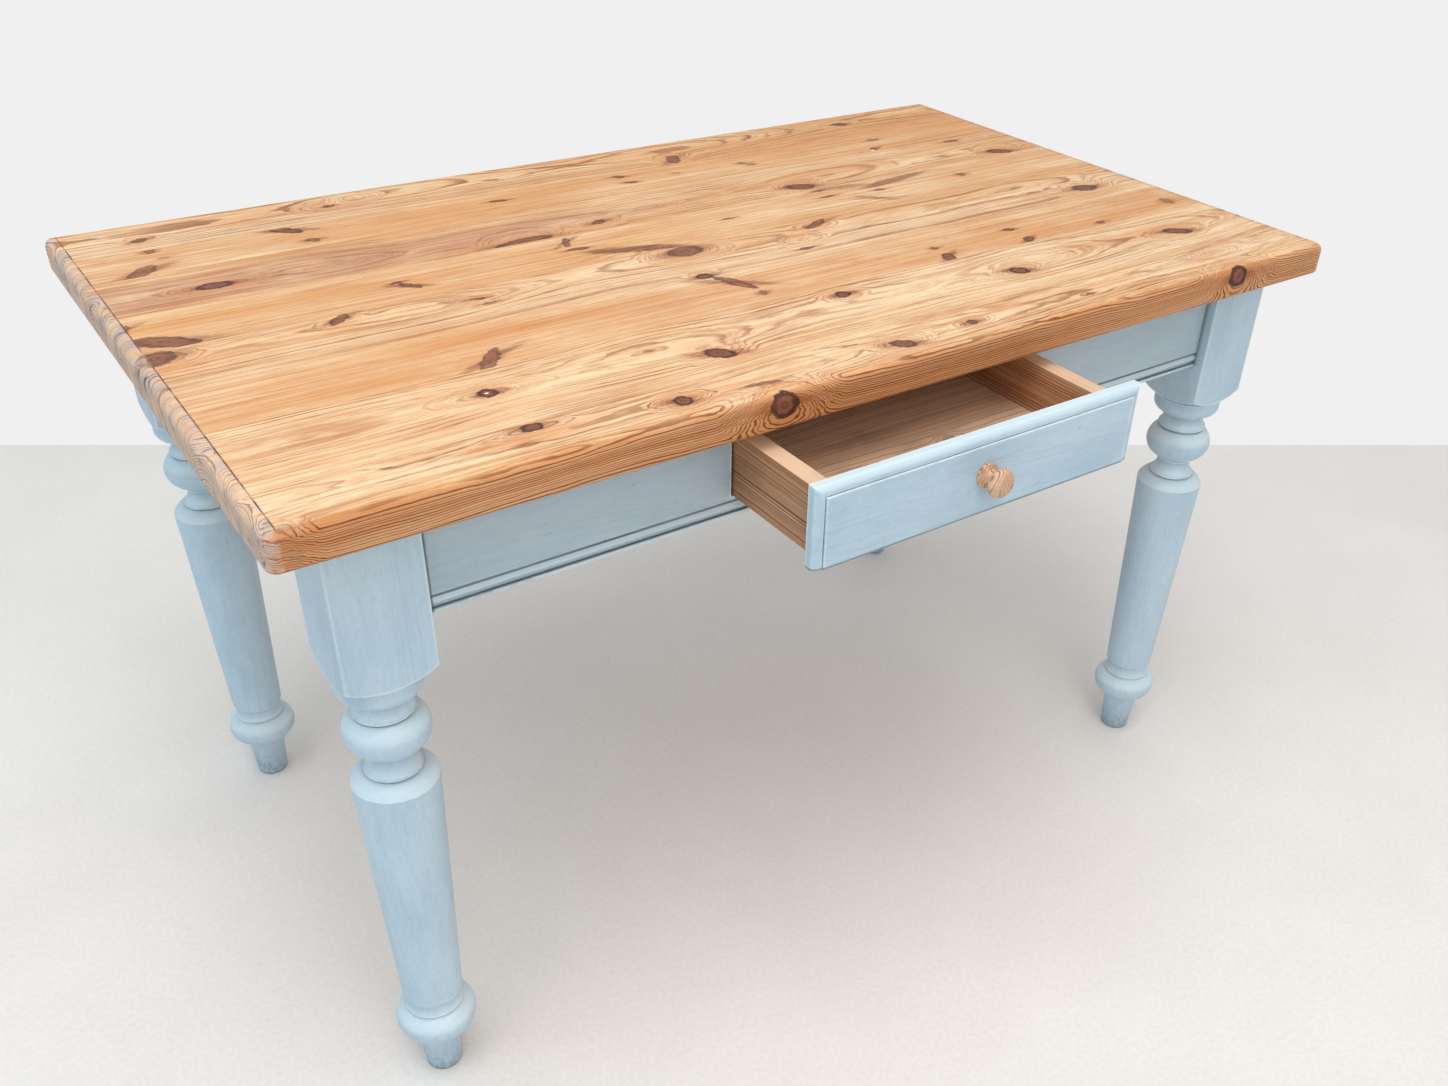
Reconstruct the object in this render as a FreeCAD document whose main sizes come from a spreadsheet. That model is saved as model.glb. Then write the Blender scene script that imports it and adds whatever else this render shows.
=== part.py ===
import FreeCAD, Part
import math
import os
import re

import Sketcher
from FreeCAD import Placement, Rotation, Vector

# A farmhouse kitchen table: four turned legs, four beaded aprons tenoned into them, a top of seven
# planks held down by wooden buttons, and one lipped drawer that slides on runners below the top.
#
# Frame, in millimetres: +X to the right along the length, +Y to the back, +Z up. The origin lies on
# the floor under the middle of the top. The drawer faces -Y and stands partly open.

SIZES = {
    # the whole table
    "table_length": 1300,
    "table_width": 770,
    "table_height": 770,
    # the top
    "top_thick": 37,
    "top_end_over": 48,  # the top beyond the legs, at the short ends
    "top_side_over": 39,  # and at the long sides
    "top_round": 10,  # the rounded upper edge
    "top_under_round": 4,
    "corner_more": 0.5,  # how much rounder the corners are in plan
    "end_line_inset": 13,  # the scored line across both ends
    "end_line_wide": 1.4,
    "end_line_deep": 1.2,
    "seam_arris": 0.5,  # the eased corner on each side of a seam
    "plank_1_width": 66,  # front to back; together they make up the width
    "plank_2_width": 124,
    "plank_3_width": 195,
    "plank_4_width": 100,
    "plank_5_width": 104,
    "plank_6_width": 80,
    "plank_7_width": 101,
    # the legs
    "leg_square": 88,
    "leg_arris": 1.5,
    "block_drop": 57.5,  # the square block reaches this far below the aprons
    "block_rise": 21.3,  # the rounded foot of the block, out where the cut begins
    "lathe_clear": 7.8,  # the cut begins this far beyond the square's corners
    # the aprons and their joints
    "apron_thick": 22,
    "apron_setback": 13.5,
    "apron_arris": 1,
    "bead_lower": 4.3,  # the two quirks that set off the bead
    "bead_upper": 17.5,
    "quirk_wide": 1.6,
    "quirk_deep": 3.4,
    "bead_fall": 2.6,  # the bead's round falls back this far beside the quirks
    "tenon_thick": 10,
    "tenon_back": 6,  # from the apron's face to the tenon's cheek
    "tenon_long": 32,
    "tenon_shoulder": 15,
    "mortise_gap": 0.15,
    "mortise_spare": 1,
    # wooden buttons that hold the top
    "button_wide": 30,
    "button_long": 32,
    "tongue_thick": 8,
    "tongue_long": 8,
    "button_off": 1,  # the button's shoulder stands off the apron
    "slot_drop": 9,  # the slots' upper edge, below the top of the apron
    "slot_play": 2,  # room beside and behind the tongue
    "slot_slack": 1,  # and below it
    "button_spread_long": 380,
    "button_spread_end": 140,
    "button_screw_in": 18,
    # screws and pins
    "screw_head_radius": 4,
    "screw_head_high": 2.6,
    "screw_radius": 1.9,
    "screw_long": 33,
    "screw_tip": 4,
    "screw_slot_wide": 0.9,
    "screw_slot_deep": 1,
    "pin_head_radius": 1.7,
    "pin_head_high": 0.7,
    "pin_radius": 0.9,
    "pin_long": 34,
    "fixing_gap": 0.1,
    # the drawer opening, its runners and kickers
    "drawer_offset": 6,  # the drawer lies a little to the right of the middle
    "rail_height": 23,  # the apron below the opening
    "strip_height": 16.5,  # and above it
    "drawer_gap": 3,  # each side of the drawer
    "slide_gap": 0.3,  # under the drawer's sides
    "head_gap": 3.7,  # above them
    "ledge_wide": 24,
    "ledge_thick": 20,
    "guide_thick": 20,
    "guide_high": 30,
    "stub_size": 14,  # stub tenons that carry the runners
    "stub_long": 8,
    "stub_gap": 0.1,
    "kicker_screw_spread": 220,
    # the drawer
    "drawer_open": 142,
    "drawer_width": 389,
    "drawer_long": 480,
    "side_high": 71,
    "side_thick": 21,
    "side_arris": 1.2,
    "bottom_level": 8.2,
    "bottom_thick": 8,
    "groove_deep": 6,
    "groove_gap": 0.15,
    "back_thick": 13,
    "back_inset": 20,
    "back_drop": 6,
    "housing_deep": 6,
    "front_rebate": 8,  # the inner body of the front, between the sides
    # the lipped front
    "lip_over": 16,
    "lip_drop": 1.8,
    "lip_rise": 14,
    "mould_edge": 7,  # the straight edge behind the moulding
    "mould_wide": 10,
    "mould_rise": 5.5,
    "mould_small_round": 3.5,  # the tighter curve, at the edge
    "mould_quirk": 1.6,  # the narrow channel between moulding and field
    "mould_fall": 0.6,
    "field_step": 1.5,  # the field stands this far proud of the moulding
    # the knob
    "knob_high": 43,  # its centre above the front's lower edge
    "knob_shift": -3,  # and to the left of the front's middle
    "spigot_radius": 7,
    "spigot_gap": 0.1,
}

# The turned profile from the block down: name, radius, distance below the block, and the arc that
# leads to it from the point above. An arc's radius is positive where the wood is hollowed and
# negative where it swells.
UPPER_TURNING = [
    ("block_edge", 44, -0.2, -57),
    ("recess_top", 39.5, 0, 0),
    ("recess_foot", 39.5, 1.5, 0),
    ("collar_top", 42, 1.5, 0),
    ("collar_foot", 42, 13.8, 0),
    ("cup_foot", 31, 24.5, -11.2),
    ("neck_ring_top", 26.5, 24.5, 0),
    ("neck_ring_foot", 26.5, 29.5, 0),
    ("high_cove_top", 25.3, 29.5, 0),
    ("high_cove_foot", 29.8, 44, 26),
    ("high_fillet_top", 30.5, 44, 0),
    ("high_fillet_foot", 30.5, 46.5, 0),
    ("high_quirk", 28, 47.7, 0),
    ("ball_top", 28.6, 48.6, 0),
    ("ball_foot", 22.1, 92.1, -23),
    ("ball_ring_top", 22.6, 92.6, 0),
    ("ball_ring_foot", 22.6, 96.5, 0),
    ("low_cove_top", 20.5, 96.5, 0),
    ("low_cove_foot", 27.6, 115, 28),
    ("low_fillet_top", 28.6, 115, 0),
    ("low_fillet_foot", 28.6, 117.2, 0),
    ("low_quirk", 26.8, 118.2, 0),
    ("shoulder_top", 28.6, 119.2, 0),
    ("shoulder_foot", 42.1, 129.3, -18),
    ("shaft_top", 42.8, 130.8, -1.4),
]
# The same for the foot: name, radius, height above the floor, arc.
LOWER_TURNING = [
    ("shaft_foot", 32, 124.5, 0),
    ("shaft_under", 29.5, 122, -2.6),
    ("foot_cove_top", 29, 121.8, 0),
    ("foot_cove_foot", 31.5, 105.5, 30),
    ("foot_quirk", 29.3, 104, 0),
    ("torus_top", 30.5, 102.1, 0),
    ("torus_foot", 29.4, 64.5, -20),
    ("ankle_top", 26, 64.5, 0),
    ("ankle_foot", 26, 61, 0),
    ("peg_top", 24, 61, 0),
    ("peg_foot", 19.8, 2.5, 0),
    ("peg_tip", 17.4, 0, -2.5),
]
# The knob, from its spigot outwards: name, radius, distance in front of the drawer, arc. It is drawn
# the other way along, so here a positive arc swells and a negative one is hollow.
KNOB_TURNING = [
    ("flange_rim", 13.2, 0, 0),
    ("flange_edge", 13.2, 2.6, 0),
    ("flange_brow", 12.2, 3.8, 1.3),
    ("ring_quirk", 10.9, 4, 0),
    ("ring_top", 10.9, 5.6, 1.2),
    ("neck_start", 9.2, 6, 0),
    ("neck_end", 8.6, 13.6, -10),
    ("head_under", 11.6, 15, -5),
    ("head_rim", 15.2, 19, 6),
    ("head_brow", 14, 24.4, 8),
    ("head_face", 8, 28, 12),
]

PLANK_COUNT = 7
PLANKS = [f"plank_{number}_width" for number in range(1, PLANK_COUNT + 1)]

doc = FreeCAD.newDocument("kitchen_table")
sheet = doc.addObject("Spreadsheet::Sheet", "Sizes")
parts = []


def fill_sheet(rows):
    """Each size gets a row: its name in column A and its value, with that alias, in column B."""
    for row, (name, value) in enumerate(rows.items(), start=1):
        sheet.set(f"A{row}", name)
        sheet.set(f"B{row}", str(value))
        sheet.setAlias(f"B{row}", name)
    doc.recompute()


def turning_rows():
    rows = {}
    for table, word in ((UPPER_TURNING, "drop"), (LOWER_TURNING, "rise"), (KNOB_TURNING, "out")):
        for name, radius, distance, arc in table:
            rows[f"{name}_radius"] = radius
            rows[f"{name}_{word}"] = distance
            if arc:
                rows[f"{name}_arc"] = abs(arc)
    return rows


fill_sheet({**SIZES, **turning_rows()})


def cells(text):
    """Point every size named in an expression at its cell in the sheet."""
    return re.sub(r"\b[a-z]+(?:_[a-z0-9]+)+\b", lambda word: "Sizes." + word.group(0), str(text))


def value(text):
    return float(sheet.evalExpression(cells(text)))


def bind(thing, **properties):
    for name, text in properties.items():
        thing.setExpression(name, cells(text))


def place(thing, x="0", y="0", z="0", axis=(0, 0, 1), turn=0):
    thing.Placement = Placement(Vector(0, 0, 0), Rotation(Vector(*axis), turn))
    for letter, text in zip("xyz", (x, y, z)):
        thing.setExpression(f"Placement.Base.{letter}", cells(text))


# Drawing -----------------------------------------------------------------------------------------


def arc_between(start, end, radius):
    """The shorter arc from start to end; a positive radius keeps its centre to the left."""
    chord = end - start
    half = chord.Length / 2
    rise = math.sqrt(max(radius * radius - half * half, 0))
    left = Vector(-chord.y, chord.x, 0).normalize()
    side = 1 if radius > 0 else -1
    centre = (start + end) / 2 + left * side * rise
    first, last = (start, end) if side > 0 else (end, start)
    angles = [math.atan2((point - centre).y, (point - centre).x) for point in (first, last)]
    if angles[1] < angles[0]:
        angles[1] += 2 * math.pi
    circle = Part.Circle(centre, Vector(0, 0, 1), abs(radius))
    return Part.ArcOfCircle(circle, angles[0], angles[1])


def draw(sketch, steps):
    """Draw a closed outline. A step is x, y and, for an arc that leads to it, a radius and a side."""
    points = [Vector(value(step[0]), value(step[1]), 0) for step in steps]
    ends = []
    for index, step in enumerate(steps):
        start, end = points[index - 1], points[index]
        if len(step) > 2:
            edge = sketch.addGeometry(arc_between(start, end, step[3] * value(step[2])), False)
            ends.append((edge, 1, 2) if step[3] > 0 else (edge, 2, 1))
            rule = sketch.addConstraint(Sketcher.Constraint("Radius", edge, abs(value(step[2]))))
            sketch.setExpression(f"Constraints[{rule}]", cells(step[2]))
        else:
            edge = sketch.addGeometry(Part.LineSegment(start, end), False)
            ends.append((edge, 1, 2))
    for index, (edge, head, tail) in enumerate(ends):
        following, its_head, its_tail = ends[(index + 1) % len(ends)]
        sketch.addConstraint(Sketcher.Constraint("Coincident", edge, tail, following, its_head))
        for kind, text in zip(("DistanceX", "DistanceY"), steps[index][:2]):
            rule = sketch.addConstraint(Sketcher.Constraint(kind, -1, 1, edge, tail, value(text)))
            sketch.setExpression(f"Constraints[{rule}]", cells(text))


def ring(sketch, x, y, radius):
    centre = Vector(value(x), value(y), 0)
    edge = sketch.addGeometry(Part.Circle(centre, Vector(0, 0, 1), value(radius)), False)
    rules = (("DistanceX", (-1, 1, edge, 3), x), ("DistanceY", (-1, 1, edge, 3), y))
    for kind, where, text in rules:
        rule = sketch.addConstraint(Sketcher.Constraint(kind, *where, value(text)))
        sketch.setExpression(f"Constraints[{rule}]", cells(text))
    rule = sketch.addConstraint(Sketcher.Constraint("Radius", edge, value(radius)))
    sketch.setExpression(f"Constraints[{rule}]", cells(radius))


def sketch_on(body, plane, *outlines, offset="0"):
    """A sketch on one of the body's own planes, moved along the plane's normal by the offset."""
    name = f"{body.Name}_sketch_{len(body.Group)}"
    sketch = body.newObject("Sketcher::SketchObject", name)
    face = next(item for item in body.Origin.OriginFeatures if item.Role == plane)
    sketch.AttachmentSupport = [(face, "")]
    sketch.MapMode = "FlatFace"
    sketch.setExpression("AttachmentOffset.Base.z", cells(offset))
    for outline in outlines:
        draw(sketch, outline)
    return sketch


def rectangle(x0, x1, y0, y1):
    return [(x0, y0), (x1, y0), (x1, y1), (x0, y1)]


def feature(body, kind, sketch=None, **properties):
    made = body.newObject(f"PartDesign::{kind}", f"{body.Name}_{kind}_{len(body.Group)}")
    if sketch is not None:
        made.Profile = sketch
    for name, setting in properties.items():
        if name == "Length":
            bind(made, Length=setting)
        else:
            setattr(made, name, setting)
    return made


def pad(body, sketch, length, **properties):
    return feature(body, "Pad", sketch, Length=length, **properties)


def cut_up(body, level, height, *outlines):
    """Cut upright-sided recesses from a level upwards."""
    sketch = sketch_on(body, "XY_Plane", *outlines, offset=level)
    return feature(body, "Pocket", sketch, Length=height, Reversed=True)


def cut_through(body, plane, *outlines):
    """Cut a section right through the body, both ways from the plane."""
    sketch = sketch_on(body, plane, *outlines)
    return feature(body, "Pocket", sketch, Type="ThroughAll", SideType="Symmetric")


def soften(body, radius, wanted):
    """Round the edges of the body so far whose middle and direction pass the test."""
    doc.recompute()
    base = body.Tip
    names = []
    for number, edge in enumerate(base.Shape.Edges, start=1):
        box = edge.BoundBox
        span = Vector(box.XLength, box.YLength, box.ZLength)
        if wanted(box.Center, span):
            names.append(f"Edge{number}")
    made = feature(body, "Fillet", Base=(base, names))
    bind(made, Radius=radius)
    return made


def new_body(name):
    body = doc.addObject("PartDesign::Body", name)
    body.Label = name
    return body


def keep(thing, label=None):
    if label:
        thing.Label = label
    parts.append(thing)
    return thing


# Repeated fixings --------------------------------------------------------------------------------


def copies(name, original, spots):
    """A group of separate solids: one linked copy of the original at each spot."""
    links = []
    for number, spot in enumerate(spots, start=1):
        link = doc.addObject("App::Link", f"{name}_{number}")
        link.LinkedObject = original
        place(link, **spot)
        links.append(link)
    group = doc.addObject("Part::Compound", name)
    group.Links = links
    return group


def drilled(label, base, tool):
    """The base with the fixings' holes cut from it."""
    made = doc.addObject("Part::Cut", f"{label}_drilled")
    base.Label = f"{label}_blank"
    made.Base = base
    made.Tool = tool
    return keep(made, label)


def turned(name, outline):
    body = new_body(name)
    sketch = sketch_on(body, "XZ_Plane", outline)
    feature(body, "Revolution", sketch, ReferenceAxis=(sketch, ["V_Axis"]), Angle=360)
    return body


SCREW = [
    ("0", "0"),
    ("screw_head_radius", "0"),
    ("screw_radius", "screw_head_high"),
    ("screw_radius", "screw_long - screw_tip"),
    ("0", "screw_long"),
]
SCREW_HOLE = [
    ("0", "-fixing_gap"),
    ("screw_head_radius + fixing_gap", "-fixing_gap"),
    ("screw_head_radius + fixing_gap", "0"),
    ("screw_radius + fixing_gap", "screw_head_high"),
    ("screw_radius + fixing_gap", "screw_long - screw_tip + fixing_gap"),
    ("0", "screw_long + 2 * fixing_gap"),
]
PIN = [
    ("0", "0"),
    ("pin_head_radius", "0"),
    ("pin_head_radius", "pin_head_high"),
    ("pin_radius", "pin_head_high"),
    ("pin_radius", "pin_long"),
    ("0", "pin_long"),
]
PIN_HOLE = [
    ("0", "-fixing_gap"),
    ("pin_head_radius + fixing_gap", "-fixing_gap"),
    ("pin_head_radius + fixing_gap", "pin_head_high"),
    ("pin_radius + fixing_gap", "pin_head_high"),
    ("pin_radius + fixing_gap", "pin_long + fixing_gap"),
    ("0", "pin_long + fixing_gap"),
]

# Levels and lines that several pieces share ------------------------------------------------------

TOP_UNDERSIDE = "(table_height - top_thick)"
OPENING_HEIGHT = "(slide_gap + side_high + head_gap)"
APRON_HEIGHT = f"(rail_height + {OPENING_HEIGHT} + strip_height)"
APRON_FOOT = f"({TOP_UNDERSIDE} - {APRON_HEIGHT})"
BLOCK_FOOT = f"({APRON_FOOT} - block_drop)"
LEG_X = "(table_length / 2 - top_end_over - leg_square / 2)"
LEG_Y = "(table_width / 2 - top_side_over - leg_square / 2)"
FACE_X = f"({LEG_X} + leg_square / 2 - apron_setback)"  # outer faces of the end aprons
FACE_Y = f"({LEG_Y} + leg_square / 2 - apron_setback)"  # outer faces of the long aprons
INNER_X = f"({FACE_X} - apron_thick)"
INNER_Y = f"({FACE_Y} - apron_thick)"
OPENING_HALF = "(drawer_width / 2 + drawer_gap)"
OPENING_FOOT = f"({APRON_FOOT} + rail_height)"
OPENING_HEAD = f"({OPENING_FOOT} + {OPENING_HEIGHT})"
LATHE_SWING = "(leg_square * sqrt(0.5) + lathe_clear)"
BUTTON_THICK = "(slot_drop + tongue_thick)"
SLOT_DEEP = "(tongue_long + slot_play)"
TOP_CORNER = "(top_round + corner_more)"
LIP_THICK = "(mould_edge + mould_rise + field_step)"

# The legs ----------------------------------------------------------------------------------------


def lathe_outline():
    """The waste that the lathe removes, from the leg's surface out past the corners."""
    steps = [(LATHE_SWING, "0"), (LATHE_SWING, f"{BLOCK_FOOT} + block_rise")]
    for name, radius, drop, arc in UPPER_TURNING:
        step = (f"{name}_radius", f"{BLOCK_FOOT} - {name}_drop")
        steps.append(step + ((f"{name}_arc", 1 if arc > 0 else -1) if arc else ()))
    for name, radius, rise, arc in LOWER_TURNING:
        step = (f"{name}_radius", f"{name}_rise")
        steps.append(step + ((f"{name}_arc", 1 if arc > 0 else -1) if arc else ()))
    return steps


def mortise(side_x, side_y, along):
    """One mortise in plan, cut into the leg from the face that looks along the apron."""
    deep = "leg_square / 2 - tenon_long - mortise_spare"
    cheek = "leg_square / 2 - apron_setback - tenon_back"
    near = f"({cheek} + mortise_gap)"
    far = f"({cheek} - tenon_thick - mortise_gap)"
    reach = (f"{-side_x} * ({deep})", f"{-side_x} * (leg_square / 2 + mortise_spare)")
    cheeks = (f"{side_y} * {near}", f"{side_y} * {far}")
    if along == "x":
        return rectangle(*reach, *cheeks)
    reach = (f"{-side_y} * ({deep})", f"{-side_y} * (leg_square / 2 + mortise_spare)")
    cheeks = (f"{side_x} * {near}", f"{side_x} * {far}")
    return rectangle(*cheeks, *reach)


def leg(name, side_x, side_y):
    body = new_body(name)
    half = "leg_square / 2"
    blank = sketch_on(body, "XY_Plane", rectangle(f"-{half}", half, f"-{half}", half))
    pad(body, blank, TOP_UNDERSIDE)
    soften(body, "leg_arris", lambda middle, span: span.z > 100)
    waste = sketch_on(body, "XZ_Plane", lathe_outline())
    feature(body, "Groove", waste, ReferenceAxis=(waste, ["V_Axis"]), Angle=360)
    cut_up(
        body,
        f"{APRON_FOOT} + tenon_shoulder - mortise_gap",
        f"{APRON_HEIGHT} - 2 * tenon_shoulder + 2 * mortise_gap",
        mortise(side_x, side_y, "x"),
        mortise(side_x, side_y, "y"),
    )
    place(body, f"{side_x} * {LEG_X}", f"{side_y} * {LEG_Y}")
    return keep(body)


for depth_word, side_y in (("front", -1), ("back", 1)):
    for hand, side_x in (("left", -1), ("right", 1)):
        leg(f"leg_{depth_word}_{hand}", side_x, side_y)

# The aprons --------------------------------------------------------------------------------------
# Each is drawn with its outer face on local y = 0 and its lower edge on local z = 0.


def apron_section():
    half = "quirk_wide / 2"
    steps = [("apron_arris", "0"), ("0", "apron_arris")]
    steps += [
        ("0", f"bead_lower - {half}"),
        ("quirk_deep", f"bead_lower - {half} / 2"),
        ("quirk_deep", f"bead_lower + {half} / 2"),
        ("bead_fall", f"bead_lower + {half}"),
        ("0", "(bead_lower + bead_upper) / 2"),
        ("bead_fall", f"bead_upper - {half}"),
        ("quirk_deep", f"bead_upper - {half} / 2"),
        ("quirk_deep", f"bead_upper + {half} / 2"),
        ("0", f"bead_upper + {half}"),
    ]
    steps += [("0", APRON_HEIGHT), ("apron_thick", APRON_HEIGHT), ("apron_thick", "0")]
    return steps


def apron(name, span, spread, turn, x, y):
    body = new_body(name)
    pad(body, sketch_on(body, "YZ_Plane", apron_section()), span, SideType="Symmetric")
    cheeks = ("tenon_back", "tenon_back + tenon_thick")
    tenon = rectangle(*cheeks, "tenon_shoulder", f"{APRON_HEIGHT} - tenon_shoulder")
    both = f"{span} + 2 * tenon_long"
    pad(body, sketch_on(body, "YZ_Plane", tenon), both, SideType="Symmetric")
    slots = [
        rectangle(
            f"{side} * {spread} - button_wide / 2 - slot_play",
            f"{side} * {spread} + button_wide / 2 + slot_play",
            f"apron_thick - {SLOT_DEEP}",
            "apron_thick + 1",
        )
        for side in (-1, 1)
    ]
    cut_up(body, f"{APRON_HEIGHT} - {BUTTON_THICK} - slot_slack", "tongue_thick + slot_slack", *slots)
    place(body, x, y, APRON_FOOT, turn=turn)
    return keep(body)


def stub_housings(body, side):
    """Blind housings in the inner face for the runners' stub tenons."""
    outlines = []
    for hand in (-1, 1):
        middle = f"{side} * (drawer_offset + {hand} * ({OPENING_HALF} + guide_thick / 2))"
        reach = "stub_size / 2 + stub_gap"
        outlines.append(
            rectangle(
                f"{middle} - ({reach})",
                f"{middle} + ({reach})",
                "apron_thick - stub_long - mortise_spare",
                "apron_thick + 1",
            )
        )
    foot = "rail_height - ledge_thick / 2 - stub_size / 2 - stub_gap"
    cut_up(body, foot, "stub_size + 2 * stub_gap", *outlines)


long_span = f"(2 * ({LEG_X} - leg_square / 2))"
end_span = f"(2 * ({LEG_Y} - leg_square / 2))"
front = apron("apron_front", long_span, "button_spread_long", 0, "0", f"-{FACE_Y}")
back = apron("apron_back", long_span, "button_spread_long", 180, "0", FACE_Y)
apron("apron_left", end_span, "button_spread_end", -90, f"-{FACE_X}", "0")
apron("apron_right", end_span, "button_spread_end", 90, FACE_X, "0")

stub_housings(front, 1)
stub_housings(back, -1)
opening = rectangle(
    f"drawer_offset - {OPENING_HALF}", f"drawer_offset + {OPENING_HALF}", "-1", "apron_thick + 1"
)
cut_up(front, "rail_height", OPENING_HEIGHT, opening)

# Screws that hold the top and the kickers --------------------------------------------------------


def screw_spots():
    """Where the screws go, heads down, tips in the top."""
    buttons = []
    low = f"{TOP_UNDERSIDE} - {BUTTON_THICK}"
    for side in (-1, 1):
        for hand in (-1, 1):
            deep = f"{side} * ({INNER_Y} - button_screw_in)"
            buttons.append({"x": f"{hand} * button_spread_long", "y": deep, "z": low})
            deep = f"{side} * ({INNER_X} - button_screw_in)"
            buttons.append({"x": deep, "y": f"{hand} * button_spread_end", "z": low})
    kickers = []
    for hand in (-1, 1):
        for step in (-1, 0, 1):
            across = f"drawer_offset + {hand} * {OPENING_HALF}"
            along = f"{step} * kicker_screw_spread"
            kickers.append({"x": across, "y": along, "z": OPENING_HEAD})
    return buttons, kickers


button_spots, kicker_spots = screw_spots()
screw = turned("wood_screw", SCREW)
slot = sketch_on(
    screw,
    "XY_Plane",
    rectangle(
        "-screw_head_radius - 1", "screw_head_radius + 1", "-screw_slot_wide / 2", "screw_slot_wide / 2"
    ),
)
feature(screw, "Pocket", slot, Length="screw_slot_deep", Reversed=True)
keep(copies("button_screws", screw, button_spots))
keep(copies("kicker_screws", screw, kicker_spots))
screw_hole = turned("screw_hole", SCREW_HOLE)
screw_holes = copies("screw_holes", screw_hole, button_spots + kicker_spots)

# The top -----------------------------------------------------------------------------------------


def seam(number):
    """Where the seam behind this plank lies; the planks share out the width by their sizes."""
    before = " + ".join(PLANKS[:number]) or "0"
    return f"table_width * (({before}) / ({' + '.join(PLANKS)}) - 0.5)"


def plank(number):
    body = new_body(f"top_plank_{number}_board")
    front_edge, back_edge = seam(number - 1), seam(number)
    board = rectangle(front_edge, back_edge, "0", "top_thick")
    pad(body, sketch_on(body, "YZ_Plane", board), "table_length", SideType="Symmetric")
    half_length, half_width = value("table_length / 2"), value("table_width / 2")
    thick = value("top_thick")

    def at_end(middle):
        return abs(abs(middle.x) - half_length) < value(TOP_CORNER)

    def at_side(middle):
        return abs(abs(middle.y) - half_width) < value(TOP_CORNER)

    def upright(middle, span):
        return at_end(middle) and at_side(middle) and span.z > thick / 2

    def rim(level):
        def wanted(middle, span):
            flat = span.z < 0.01 and abs(middle.z - level) < 0.01
            return flat and (at_end(middle) or at_side(middle))

        return wanted

    if number in (1, PLANK_COUNT):
        soften(body, TOP_CORNER, upright)
    soften(body, "top_round", rim(thick))
    soften(body, "top_under_round", rim(0))
    lines = []
    for side in (-1, 1):
        middle = f"{side} * (table_length / 2 - end_line_inset)"
        lines.append(
            [
                (f"{middle} - end_line_wide / 2", "top_thick"),
                (middle, "top_thick - end_line_deep"),
                (f"{middle} + end_line_wide / 2", "top_thick"),
                (f"{middle} + end_line_wide / 2", "top_thick + 1"),
                (f"{middle} - end_line_wide / 2", "top_thick + 1"),
            ]
        )
    cut_through(body, "XZ_Plane", *lines)
    arrises = []
    if number > 1:
        arrises.append((front_edge, 1))
    if number < PLANK_COUNT:
        arrises.append((back_edge, -1))
    corners = []
    for line, inward in arrises:
        corners.append(
            [
                (line, "top_thick - seam_arris"),
                (f"{line} + {inward} * seam_arris", "top_thick"),
                (f"{line} + {inward} * seam_arris", "top_thick + 1"),
                (f"{line} - {inward}", "top_thick + 1"),
                (f"{line} - {inward}", "top_thick - seam_arris"),
            ]
        )
    cut_through(body, "YZ_Plane", *corners)
    place(body, z=TOP_UNDERSIDE)
    drilled(f"top_plank_{number}", body, screw_holes)


for number in range(1, PLANK_COUNT + 1):
    plank(number)

# Buttons: an L-shaped block whose tongue pulls down on the apron ---------------------------------


def button():
    body = new_body("button")
    side_view = [
        ("-tongue_long", "-slot_drop"),
        ("button_off", "-slot_drop"),
        ("button_off", "0"),
        ("button_long", "0"),
        ("button_long", f"-{BUTTON_THICK}"),
        ("-tongue_long", f"-{BUTTON_THICK}"),
    ]
    pad(body, sketch_on(body, "YZ_Plane", side_view), "button_wide", SideType="Symmetric")
    return body


def button_places():
    spots = []
    for hand in (-1, 1):
        along = f"{hand} * button_spread_long"
        spots.append({"x": along, "y": f"-{INNER_Y}", "turn": 0})
        spots.append({"x": along, "y": INNER_Y, "turn": 180})
        along = f"{hand} * button_spread_end"
        spots.append({"x": f"-{INNER_X}", "y": along, "turn": -90})
        spots.append({"x": INNER_X, "y": along, "turn": 90})
    return [{**spot, "z": TOP_UNDERSIDE} for spot in spots]


drilled("top_buttons", copies("button_group", button(), button_places()), screw_holes)

# Runners below the drawer's sides and kickers above them -----------------------------------------

runner_long = f"(2 * {INNER_Y})"


def runner(name, hand):
    """An L-section: a ledge under the drawer's side and a guide beside it."""
    body = new_body(name)
    section = [
        (f"{hand} * guide_thick", "-ledge_thick"),
        (f"{hand} * guide_thick", "guide_high"),
        ("0", "guide_high"),
        ("0", "0"),
        (f"{-hand} * ledge_wide", "0"),
        (f"{-hand} * ledge_wide", "-ledge_thick"),
    ]
    pad(body, sketch_on(body, "XZ_Plane", section), runner_long, SideType="Symmetric")
    stub = rectangle(
        f"{hand} * guide_thick / 2 - stub_size / 2",
        f"{hand} * guide_thick / 2 + stub_size / 2",
        "-ledge_thick / 2 - stub_size / 2",
        "-ledge_thick / 2 + stub_size / 2",
    )
    both = f"{runner_long} + 2 * stub_long"
    pad(body, sketch_on(body, "XZ_Plane", stub), both, SideType="Symmetric")
    place(body, f"drawer_offset + {hand} * {OPENING_HALF}", "0", OPENING_FOOT)
    return keep(body)


def kicker(name, hand):
    strip = doc.addObject("Part::Box", f"{name}_strip")
    bind(strip, Length="ledge_wide + guide_thick", Width=runner_long)
    bind(strip, Height="strip_height")
    low = "ledge_wide" if hand > 0 else "guide_thick"
    place(strip, f"drawer_offset + {hand} * {OPENING_HALF} - {low}", f"-{INNER_Y}", OPENING_HEAD)
    drilled(name, strip, screw_holes)


for hand_word, hand in (("left", -1), ("right", 1)):
    runner(f"drawer_runner_{hand_word}", hand)
    kicker(f"drawer_kicker_{hand_word}", hand)

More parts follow.
